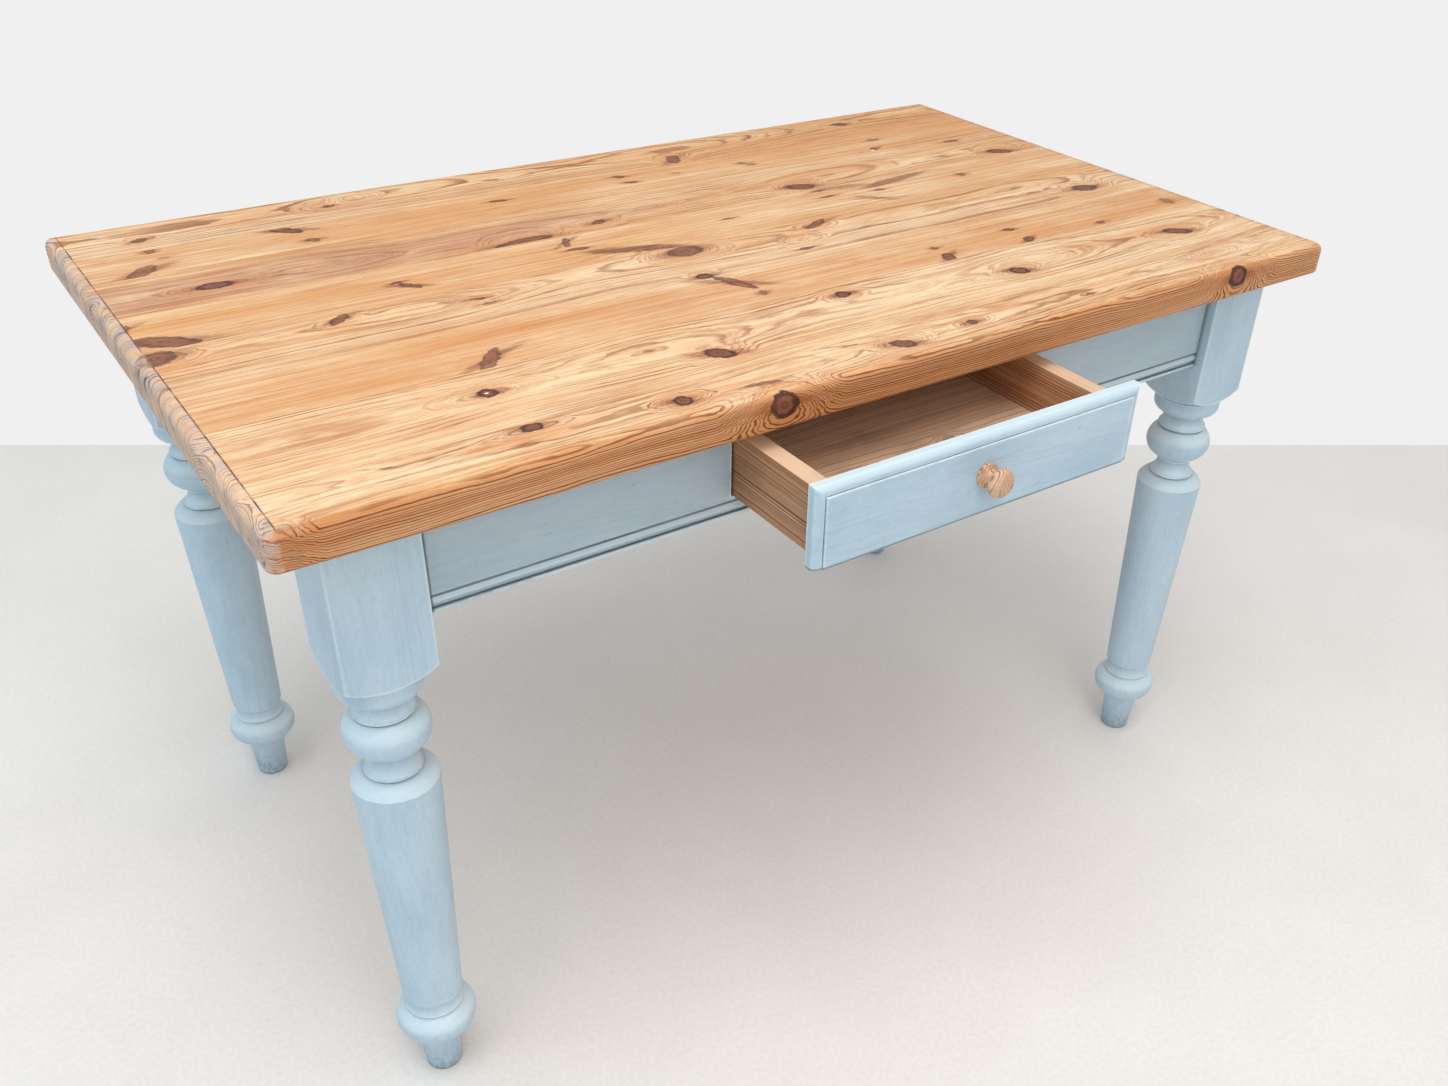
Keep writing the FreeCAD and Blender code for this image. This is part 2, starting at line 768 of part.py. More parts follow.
# The drawer --------------------------------------------------------------------------------------
# Its pieces share one local frame: x = 0 in the middle, y = 0 on the back of the front's lip, and
# z = 0 on the lower edges of the sides.

LIP_BACK = f"(-{FACE_Y} - drawer_open)"
SIDE_FOOT = f"({OPENING_FOOT} + slide_gap)"
INSIDE_HALF = "(drawer_width / 2 - side_thick)"
BACK_FRONT = "(drawer_long - back_inset - back_thick)"
BACK_REAR = "(drawer_long - back_inset)"
BACK_HIGH = "(side_high - back_drop - bottom_level - bottom_thick)"


def place_in_drawer(thing, x="0", y="0", z="0", **turn):
    place(thing, f"drawer_offset + {x}", f"{LIP_BACK} + {y}", f"{SIDE_FOOT} + {z}", **turn)


def pin_spots():
    spots = []
    middle = f"{LIP_BACK} + {BACK_FRONT} + back_thick / 2"
    for hand in (-1, 1):
        for share in (0.25, 0.75):
            spots.append(
                {
                    "x": f"drawer_offset + {hand} * drawer_width / 2",
                    "y": middle,
                    "z": f"{SIDE_FOOT} + bottom_level + bottom_thick + {share} * {BACK_HIGH}",
                    "axis": (0, 1, 0),
                    "turn": -90 * hand,
                }
            )
    for step in (-1, 0, 1):
        across = f"drawer_offset + {step} * {INSIDE_HALF} * 0.75"
        spots.append({"x": across, "y": middle, "z": f"{SIDE_FOOT} + bottom_level"})
    return spots


keep(copies("drawer_pins", turned("pin", PIN), pin_spots()))
pin_holes = copies("pin_holes", turned("pin_hole", PIN_HOLE), pin_spots())


def drawer_side(name, hand):
    body = new_body(f"{name}_board")
    board = rectangle(f"{hand} * {INSIDE_HALF}", f"{hand} * drawer_width / 2", "0", "drawer_long")
    pad(body, sketch_on(body, "XY_Plane", board), "side_high")
    top = value("side_high")
    soften(body, "side_arris", lambda at, span: abs(at.z - top) < 0.01 and span.y > 100)
    inner, into = f"{hand} * ({INSIDE_HALF} - 1)", f"{hand} * ({INSIDE_HALF} + groove_deep)"
    groove = rectangle(inner, into, "-1", "drawer_long + 1")
    cut_up(body, "bottom_level - groove_gap", "bottom_thick + 2 * groove_gap", groove)
    into = f"{hand} * ({INSIDE_HALF} + housing_deep)"
    housing = rectangle(inner, into, f"{BACK_FRONT} - groove_gap", f"{BACK_REAR} + groove_gap")
    cut_up(body, "bottom_level", "side_high", housing)
    place_in_drawer(body)
    drilled(name, body, pin_holes)


def drawer_back():
    board = doc.addObject("Part::Box", "drawer_back_board")
    reach = f"({INSIDE_HALF} + housing_deep - groove_gap)"
    bind(board, Length=f"2 * {reach}", Width="back_thick")
    bind(board, Height=BACK_HIGH)
    place_in_drawer(board, f"(-{reach})", BACK_FRONT, "bottom_level + bottom_thick")
    drilled("drawer_back", board, pin_holes)


def drawer_bottom(number, count):
    """The bottom's boards run from side to side, edge to edge from the front to the back."""
    board = doc.addObject("Part::Box", f"drawer_bottom_{number}_board")
    reach = f"({INSIDE_HALF} + groove_deep - 2 * groove_gap)"
    start = "(front_rebate - groove_deep + groove_gap)"
    each = f"(({BACK_REAR} - {start}) / {count})"
    bind(board, Length=f"2 * {reach}", Width=each, Height="bottom_thick")
    place_in_drawer(board, f"(-{reach})", f"{start} + {number - 1} * {each}", "bottom_level")
    drilled(f"drawer_bottom_{number}", board, pin_holes)


drawer_side("drawer_side_left", -1)
drawer_side("drawer_side_right", 1)
drawer_back()
for number in (1, 2, 3):
    drawer_bottom(number, 3)

# The lipped front: its lip laps over the apron on three sides, moulded on the top and both ends ---

LIP_HALF = "(drawer_width / 2 + lip_over)"
LIP_TOP = "(side_high + lip_rise)"


# The moulding's swell is drawn with two arcs that run smoothly into each other: a tight one at the
# edge and a wide one that ends level with the front. Its radius and their meeting point follow.
WIDE_ARC = (
    "(((mould_wide - mould_small_round)^2 + mould_rise^2 - mould_small_round^2)"
    " / (2 * (mould_rise - mould_small_round)))"
)
MEET_SHARE = f"(mould_small_round / ({WIDE_ARC} - mould_small_round))"
MEET_INSET = f"(mould_small_round - {MEET_SHARE} * (mould_wide - mould_small_round))"
MEET_OUT = f"({MEET_SHARE} * ({WIDE_ARC} - mould_rise))"


def moulding_waste(edge, inward):
    """What the plane removes, as inset from the edge and distance in front of the lip's back."""
    crest = "mould_edge + mould_rise"
    inset = [
        ("0", "mould_edge"),
        (MEET_INSET, f"mould_edge + {MEET_OUT}"),
        ("mould_wide", crest),
        ("mould_wide + 0.2 * mould_quirk", f"{crest} - mould_fall"),
        ("mould_wide + 0.6 * mould_quirk", f"{crest} - mould_fall"),
        ("mould_wide + mould_quirk", LIP_THICK),
        ("mould_wide + mould_quirk", f"{LIP_THICK} + 1"),
        ("-1", f"{LIP_THICK} + 1"),
        ("-1", "mould_edge"),
    ]
    return [(f"{edge} + {inward} * ({across})", out) for across, out in inset]


def swap(steps, sign):
    """Turn steps of inset and distance into the plane's own coordinates, with the front at -y."""
    return [(across, f"{sign} * ({out})") for across, out in steps]


def round_moulding(steps, turning):
    """Make the two parts of the moulding's swell arcs."""
    steps = list(steps)
    steps[1] = (*steps[1], "mould_small_round", turning)
    steps[2] = (*steps[2], WIDE_ARC, turning)
    return steps


def drawer_front():
    body = new_body("drawer_front")
    lip = rectangle(f"-{LIP_HALF}", LIP_HALF, "-lip_drop", LIP_TOP)
    pad(body, sketch_on(body, "XZ_Plane", lip), LIP_THICK)
    inner = rectangle(f"-{INSIDE_HALF}", INSIDE_HALF, "0", "side_high")
    pad(body, sketch_on(body, "XZ_Plane", inner), "front_rebate", Reversed=True)
    left = round_moulding(swap(moulding_waste(f"(-{LIP_HALF})", 1), -1), 1)
    right = round_moulding(swap(moulding_waste(LIP_HALF, -1), -1), -1)
    cut_through(body, "XY_Plane", left, right)
    upper = [(f"-1 * ({out})", up) for up, out in moulding_waste(LIP_TOP, -1)]
    cut_through(body, "YZ_Plane", round_moulding(upper, 1))
    groove = rectangle(
        f"-{INSIDE_HALF} - 1", f"{INSIDE_HALF} + 1", "front_rebate - groove_deep", "front_rebate + 1"
    )
    cut_up(body, "bottom_level - groove_gap", "bottom_thick + 2 * groove_gap", groove)
    bore = sketch_on(body, "XZ_Plane")
    ring(bore, "knob_shift", "knob_high - lip_drop", "spigot_radius + spigot_gap")
    feature(body, "Pocket", bore, Type="ThroughAll", SideType="Symmetric")
    place_in_drawer(body)
    return keep(body)


def drawer_knob():
    spigot_end = f"-{LIP_THICK} - front_rebate"
    steps = [("0", spigot_end), ("spigot_radius", spigot_end), ("spigot_radius", "0")]
    for name, radius, out, arc in KNOB_TURNING:
        step = (f"{name}_radius", f"{name}_out")
        steps.append(step + ((f"{name}_arc", 1 if arc > 0 else -1) if arc else ()))
    steps.append(("0", "head_face_out + 0.9"))
    body = turned("drawer_knob", steps)
    where = ("knob_shift", f"(-{LIP_THICK})", "knob_high - lip_drop")
    place_in_drawer(body, *where, axis=(1, 0, 0), turn=90)
    return keep(body)


drawer_front()
drawer_knob()

# Check and write ---------------------------------------------------------------------------------

doc.recompute()
for thing in doc.Objects:
    if "Invalid" in thing.State or "Error" in thing.State:
        raise ValueError(f"{thing.Label} failed: {thing.State}")
os.makedirs("parts", exist_ok=True)
for thing in parts:
    shape = thing.Shape
    if shape.isNull() or not shape.isValid() or not shape.Solids:
        raise ValueError(f"{thing.Label} has no valid solid")
    shape.exportStep(f"parts/{thing.Label}.step")
    box = shape.BoundBox
    print(
        f"{thing.Label}: {len(shape.Solids)} solid(s), {shape.Volume / 1000:.1f} cm3, "
        f"{box.XMin:.1f} {box.YMin:.1f} {box.ZMin:.1f} to {box.XMax:.1f} {box.YMax:.1f} {box.ZMax:.1f}"
    )
print(len(parts), "sub-parts written")
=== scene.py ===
# %% [markdown]
# # A farmhouse kitchen table, finished in Blender
# The joinery is already drawn: seven pine planks on a painted base with turned legs, and one
# drawer. This notebook gives every piece its finish, sets up the camera and lights, and prints
# what it made. The packed model is loaded first, and its shapes are never changed.

# %% Load the joinery
import math

import bmesh
import bpy
from mathutils import Matrix, Vector


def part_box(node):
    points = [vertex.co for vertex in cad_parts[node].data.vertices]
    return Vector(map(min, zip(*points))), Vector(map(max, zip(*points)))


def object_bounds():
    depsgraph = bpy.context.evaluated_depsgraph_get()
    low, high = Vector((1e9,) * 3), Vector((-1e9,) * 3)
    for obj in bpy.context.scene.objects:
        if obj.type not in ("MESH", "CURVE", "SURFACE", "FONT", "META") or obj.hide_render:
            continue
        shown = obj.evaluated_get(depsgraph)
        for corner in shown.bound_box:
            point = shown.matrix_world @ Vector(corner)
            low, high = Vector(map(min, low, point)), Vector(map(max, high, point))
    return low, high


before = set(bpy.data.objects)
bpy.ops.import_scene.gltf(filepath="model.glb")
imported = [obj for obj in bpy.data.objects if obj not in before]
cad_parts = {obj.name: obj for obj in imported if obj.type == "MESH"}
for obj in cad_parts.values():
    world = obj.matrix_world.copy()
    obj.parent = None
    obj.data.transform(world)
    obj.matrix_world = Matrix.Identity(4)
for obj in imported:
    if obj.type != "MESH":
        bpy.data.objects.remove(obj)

bpy.context.view_layer.update()
joinery_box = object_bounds()
corners = [tuple(round(v, 4) for v in corner) for corner in joinery_box]
print("pieces:", len(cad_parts), "box:", corners)


def give(name, material):
    """Puts a finish on one piece of the table."""
    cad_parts[name].material_slots[0].material = material


# %% [markdown]
# ## The camera
# The viewpoint stands in front of the left end, above the table and looking down. Heading,
# tilt and lean are angles in radians. The frame is a little off the lens's centre, so the
# camera has a small shift, which keeps the perspective as it is.

# %% Camera
IMAGE_WIDTH, IMAGE_HEIGHT = 1448, 1086
SENSOR_WIDTH = 36.0
FOCAL_PIXELS = 1326.616
CENTRE_PIXEL = (781.6, 619.9)
STANDPOINT = Vector((-0.838737, -1.290888, 1.298683))
HEADING, TILT, LEAN = 0.642, -0.608, 0.041
NEAREST, FARTHEST = 0.05, 60

forward = Vector((
    math.sin(HEADING) * math.cos(TILT), math.cos(HEADING) * math.cos(TILT), math.sin(TILT)
))
level_right = forward.cross(Vector((0, 0, 1))).normalized()
level_up = level_right.cross(forward)
right = math.cos(LEAN) * level_right + math.sin(LEAN) * level_up
up = math.cos(LEAN) * level_up - math.sin(LEAN) * level_right

lens = bpy.data.cameras.new("view")
lens.sensor_fit = "HORIZONTAL"
lens.sensor_width = SENSOR_WIDTH
lens.lens = FOCAL_PIXELS * SENSOR_WIDTH / IMAGE_WIDTH
lens.shift_x = (IMAGE_WIDTH / 2 - CENTRE_PIXEL[0]) / IMAGE_WIDTH
lens.shift_y = (CENTRE_PIXEL[1] - IMAGE_HEIGHT / 2) / IMAGE_WIDTH
lens.clip_start, lens.clip_end = NEAREST, FARTHEST
camera = bpy.data.objects.new("view", lens)
turned = Matrix((right, up, -forward)).transposed().to_4x4()
camera.matrix_world = Matrix.Translation(STANDPOINT) @ turned
bpy.context.scene.collection.objects.link(camera)
bpy.context.scene.camera = camera
bpy.context.scene.view_settings.view_transform = "Standard"
print("lens", round(lens.lens, 2), "shift", round(lens.shift_x, 4), round(lens.shift_y, 4))

# %% [markdown]
# ## Writing a finish as arithmetic
# A finish in Blender is a graph of nodes. Drawn by hand it is hard to read, so this cell lets
# the graph be written as sums: a `Value` wraps one socket, and adding or multiplying two of
# them adds a Math node.


# %% Values
class Value:
    """One socket of a finish: + - * / and ** on it add Math nodes."""

    def __init__(self, finish, socket):
        self.finish, self.socket = finish, socket

    def maths(self, operation, first, second=0.0):
        return self.finish.node("ShaderNodeMath", {"operation": operation}, {0: first, 1: second})

    def __add__(self, other):
        return self.maths("ADD", self, other)

    def __sub__(self, other):
        return self.maths("SUBTRACT", self, other)

    def __rsub__(self, other):
        return self.maths("SUBTRACT", other, self)

    def __mul__(self, other):
        return self.maths("MULTIPLY", self, other)

    def __truediv__(self, other):
        return self.maths("DIVIDE", self, other)

    def __pow__(self, other):
        return self.maths("POWER", self, other)

    __radd__, __rmul__ = __add__, __mul__

    def to(self, operation, other=0.0):
        """Any other Math operation on this value, such as FRACT, ABSOLUTE or MINIMUM."""
        return self.maths(operation, self, other)

    def fade(self, start, end, low=0.0, high=1.0):
        """Eases from low to high while this value goes from start to end."""
        return self.finish.node(
            "ShaderNodeMapRange", {"interpolation_type": "SMOOTHSTEP"},
            {0: self, 1: start, 2: end, 3: low, 4: high},
        )


print("a plain number may stand first in", [n for n in vars(Value) if n.startswith("__r")])

# %% [markdown]
# A `Finish` is one material. Its `node` method makes any kind of node, and the short methods
# after it name the few kinds that wood and paint need again and again. `surface` ends the
# graph with the shader. The relief is a bump: a height that tilts the light without moving
# the shape, which suits marks that are less than a millimetre deep.


# %% Finishes
class Finish:
    """One material, made of nodes."""

    def __init__(self, name):
        self.material = bpy.data.materials.new(name)
        self.material.use_nodes = True
        self.material.node_tree.nodes.clear()

    def node(self, kind, settings=None, sockets=None, out=0):
        """Adds one node: its settings first, then a number, a colour or a Value per socket."""
        made = self.material.node_tree.nodes.new(kind)
        for name, setting in (settings or {}).items():
            if name == "stops":
                steps = made.color_ramp.elements
                while len(steps) < len(setting):
                    steps.new(1.0)
                for step, (position, colour) in zip(steps, setting):
                    step.position, step.color = position, colour
            else:
                setattr(made, name, setting)
        for name, value in (sockets or {}).items():
            if isinstance(value, Value):
                self.material.node_tree.links.new(value.socket, made.inputs[name])
            else:
                made.inputs[name].default_value = value
        return Value(self, made.outputs[out])

    def split(self, vector):
        """The x, y and z of a vector."""
        separated = self.node("ShaderNodeSeparateXYZ", {}, {0: vector}).socket.node
        return [Value(self, axis) for axis in separated.outputs]

    def join(self, x, y, z):
        return self.node("ShaderNodeCombineXYZ", {}, {0: x, 1: y, 2: z})

    def vector(self, operation, first, second=(0.0, 0.0, 0.0), out=0):
        sockets = {0: first, 1: second}
        return self.node("ShaderNodeVectorMath", {"operation": operation}, sockets, out)

    def stretch(self, place, size, shift=(0.0, 0.0, 0.0)):
        """The same places with each axis multiplied, so that a pattern comes out stretched."""
        sockets = {"Vector": place, "Location": shift, "Scale": size}
        return self.node("ShaderNodeMapping", {}, sockets)

    def noise(self, place, detail=2.0, roughness=0.5, out=0):
        return self.node(
            "ShaderNodeTexNoise", {},
            {"Vector": place, "Scale": 1.0, "Detail": detail, "Roughness": roughness}, out,
        )

    def wander(self, along, seed):
        """A value that drifts slowly between about -0.5 and 0.5 along one axis."""
        drift = self.node(
            "ShaderNodeTexNoise", {"noise_dimensions": "1D"},
            {"W": along + seed, "Scale": 1.0, "Detail": 1.0},
        )
        return drift - 0.5

    def ellipse(self, place, middle, size, turn=0.0):
        """How far a place is from the middle of an ellipse, which has 1 at its rim."""
        spot = self.node(
            "ShaderNodeMapping", {"vector_type": "TEXTURE"},
            {"Vector": place, "Location": middle, "Rotation": (0.0, 0.0, turn), "Scale": size},
        )
        return self.vector("LENGTH", spot, out="Value")

    def openness(self, reach, samples=4, inside=False, local=True):
        """How much open space lies round a place within reach: 1 is free, less is hemmed in."""
        return self.node(
            "ShaderNodeAmbientOcclusion",
            {"samples": samples, "inside": inside, "only_local": local},
            {"Distance": reach}, out="AO",
        )

    def facing(self):
        """The x, y and z of the direction that the surface looks in."""
        return self.split(self.node("ShaderNodeNewGeometry", out="Normal"))

    def blend(self, share, first, second):
        """Two colours mixed: a share of 0 is the first, 1 is the second."""
        sockets = {0: share, 6: first, 7: second}
        return self.node("ShaderNodeMix", {"data_type": "RGBA"}, sockets, out=2)

    def ramp(self, value, stops):
        return self.node("ShaderNodeValToRGB", {"stops": stops}, {0: value})

    def surface(self, colour, roughness, height, depth, **fixed):
        """Ends the graph: colour, gloss, and a relief whose full height is depth in metres."""
        sockets = {"Strength": 1.0, "Distance": depth, "Height": height}
        relief = self.node("ShaderNodeBump", {}, sockets)
        sockets = {"Base Color": colour, "Roughness": roughness, "Normal": relief, **fixed}
        shader = self.node("ShaderNodeBsdfPrincipled", {}, sockets)
        end = self.material.node_tree.nodes.new("ShaderNodeOutputMaterial")
        self.material.node_tree.links.new(shader.socket, end.inputs["Surface"])
        return self.material


def tint(red, green, blue):
    """A colour given in the 0 to 255 numbers of a paint chart, as linear light."""
    steps = [c / 255 for c in (red, green, blue)]
    linear = [s / 12.92 if s <= 0.04045 else ((s + 0.055) / 1.055) ** 2.4 for s in steps]
    return (*linear, 1.0)


print("mid grey of the paint chart in linear light:", round(tint(128, 128, 128)[0], 3))

# %% [markdown]
# ## Knots
# A knot is where a branch left the trunk. On a plank's face it is an ellipse of darker wood,
# and the year lines swing round it, because the trunk grew outwards round the branch. Knots
# are what makes one table different from the next, so they are listed one by one further
# down, and this cell turns such a list into values that a finish can use.

# %% Where the knots are
MM = 0.001
THROUGH_THE_BOARD = (0, 20000)
NO_KNOT_NEAR = 9.0
TAIL_STRETCH, TAIL_EXTRA, TAIL_WIDTH = 2.4, 14, 1.2
HAIR = (0.0, 0.0, 0.0001)


def from_knot(finish, place, middle, size, turn):
    """How far a place is from a knot's middle, 1 at its rim: millimetres and degrees."""
    half = tuple(length * MM / 2 for length in size)
    return finish.ellipse(place, tuple(at * MM for at in middle), half, math.radians(turn))


def knots_in(finish, place, knots):
    """Where the knots are: the distance from the nearest one (1 at its rim), how much of a
    knot covers the place, how much stain its tail leaves along the grain, and the swell in
    rings.

    A knot is (along, across, length, width, turn, darkness, swell, reach along, reach
    across), in millimetres and degrees, in the board's own directions. Darkness 0 is a bend
    in the rings with no knot in it, and a darkness below 0 is a streak of stain. Two more
    numbers give the level and thickness of a knot that doesn't go through the board.

    The renderer keeps only a small scratch pad for a finish, so each knot starts from the
    one before: the place that is handed on differs by a hair, in the direction through the
    board, where a hair makes no difference to a knot."""
    near, cover, tail, swell = NO_KNOT_NEAR, 0.0, 0.0, 0.0
    for along, across, length, width, turn, dark, lift, reach_along, reach_across, *level in knots:
        height, thick = level or THROUGH_THE_BOARD
        middle, size = (along, across, height), (length, width, thick)
        if dark < 0:
            streak = from_knot(finish, place, middle, size, turn)
            tail = streak.fade(1.1, 0.6, 0.0, -dark).to("MAXIMUM", tail)
        elif dark:
            away = from_knot(finish, place, middle, size, turn)
            near = away.to("MINIMUM", near)
            cover = away.fade(1.15, 0.95, 0.0, dark).to("MAXIMUM", cover)
            long_tail = (length * TAIL_STRETCH + TAIL_EXTRA, width * TAIL_WIDTH, thick)
            stain = from_knot(finish, place, middle, long_tail, turn * 0.5)
            tail = stain.fade(1.0, 0.3, 0.0, dark).to("MAXIMUM", tail)
        if lift:
            reach = (2 * reach_along, 2 * reach_across, max(thick, 2 * reach_across))
            bend = from_knot(finish, place, middle, reach, 0.0)
            swell = bend.fade(1.0, 0.0, 0.0, lift) + swell
        place = finish.node(
            "ShaderNodeVectorMath", {"operation": "MULTIPLY_ADD"},
            {0: swell if lift else tail, 1: HAIR, 2: place},
        )
    return near, cover, tail, swell


print("the tail of a 20 mm knot is", 20 * TAIL_STRETCH + TAIL_EXTRA, "mm long")

# %% [markdown]
# ## How pine grows
# A trunk is a stack of rings round its pith. Each year adds a pale, wide early band and a
# narrow dark late band with a sharp outer edge. A plank is a flat slice through those rings,
# so the same rings give the long arches on its face, the stripes on its edge and the arcs on
# its end. The finish therefore works in the solid: it measures how far a point is from the
# pith, and that distance divided by the ring width is the year.
#
# A board's `axes` name the table's directions that run along, across and through it, and
# `tree` is a number of its own that picks its own stretch of every pattern. `heave` and `sway`
# are how far the pith wanders down and sideways along the board, which opens and closes the
# arches. `SWAYS`, `HEAVES` and `CROWDS` are how often in a metre each of these turns round.
# Where the rings lie flat in the face, a late band would come out as a wide brown stripe, so
# it is made sharper there.

# %% Rings
TREE_STEP = (3.17, 1.73, 0.61)
WAVE_SIZE, WAVE_PUSH = (6, 28, 28), (0.014, 0.007, 0.007)
MIDDLE = (0.5, 0.5, 0.5)
TAPER, CROWDING = 0.006, 3.0
SWAYS, HEAVES, CROWDS = 1.4, 2.6, 85.0


def board_places(finish, board):
    """The board's own along, across and through, the same moved to its own tree, and the
    first bent a little by growth."""
    place = finish.node("ShaderNodeTexCoord", out="Object")
    world = dict(zip("xyz", finish.split(place)))
    laid = finish.join(*[world[axis] for axis in board["axes"]])
    seeded = finish.vector("ADD", laid, tuple(board["tree"] * step for step in TREE_STEP))
    wave = finish.noise(finish.stretch(seeded, WAVE_SIZE), 4.0, 0.55, out="Color")
    push = finish.vector("MULTIPLY", finish.vector("SUBTRACT", wave, MIDDLE), WAVE_PUSH)
    return laid, seeded, finish.vector("ADD", laid, push)


def growth(finish, board, bent, swell):
    """How late in the year the wood at each place grew, 0 to 1, how flat it was cut, how far
    out in the trunk it lies, and the place along the board."""
    along, across, through = finish.split(bent)
    tree = board["tree"]
    sway = finish.wander(along * SWAYS, tree * 11.3) * board.get("sway", 0.02)
    heave = finish.wander(along * HEAVES, tree * 5.9) * board.get("heave", 0.02)
    sideways = across - board["pith"] + sway
    pith_level = board["face"] - board["depth"]
    under = through - pith_level + heave + along * TAPER
    radius = (sideways * sideways + under * under) ** 0.5
    crowding = finish.wander(radius * CROWDS, tree * 2.3) * CROWDING
    year = radius / board["ring"] + crowding - swell + board.get("phase", 0.0)
    vigour = finish.node(
        "ShaderNodeTexWhiteNoise", {"noise_dimensions": "1D"}, {"W": year.to("FLOOR") + tree}
    )
    flat = (under.to("ABSOLUTE") / radius).fade(0.35, 0.95)
    season = year.to("FRACT")
    sharper = 1.2 + 6.0 * flat ** 5.0
    late = season.fade(0.25, 0.85) ** sharper * season.fade(1.0, 0.94)
    late = late * (0.2 + 0.8 * vigour ** (2.2 - 1.6 * flat))
    return late, flat, year * board["ring"], along


print("ring widths are in metres; a 3 mm ring is", 3 * MM)

# %% [markdown]
# ## The planks of the top
# Each plank comes from its own tree, so each has its own pith, ring width and tone. `pith` is
# where the pith ran across the table and `depth` how far below the face, so a plank with its
# pith under it shows arches and one with its pith beside it shows straight lines. `tone` runs
# from pale to honey and `lean` lets it darken towards the right, `warm` adds amber, `lines` is
# how strong the year lines are, `clear` how much of them is left where the wood is worn clean,
# and `phase` moves them all by part of a year. A `band` is darker wood beyond an edge that runs
# the length of the plank, and `flecks` are drops of dried resin.
#
# The numbers of a knot are those of the Knots cell: along, across, length, width, turn,
# darkness, swell, reach along and reach across.

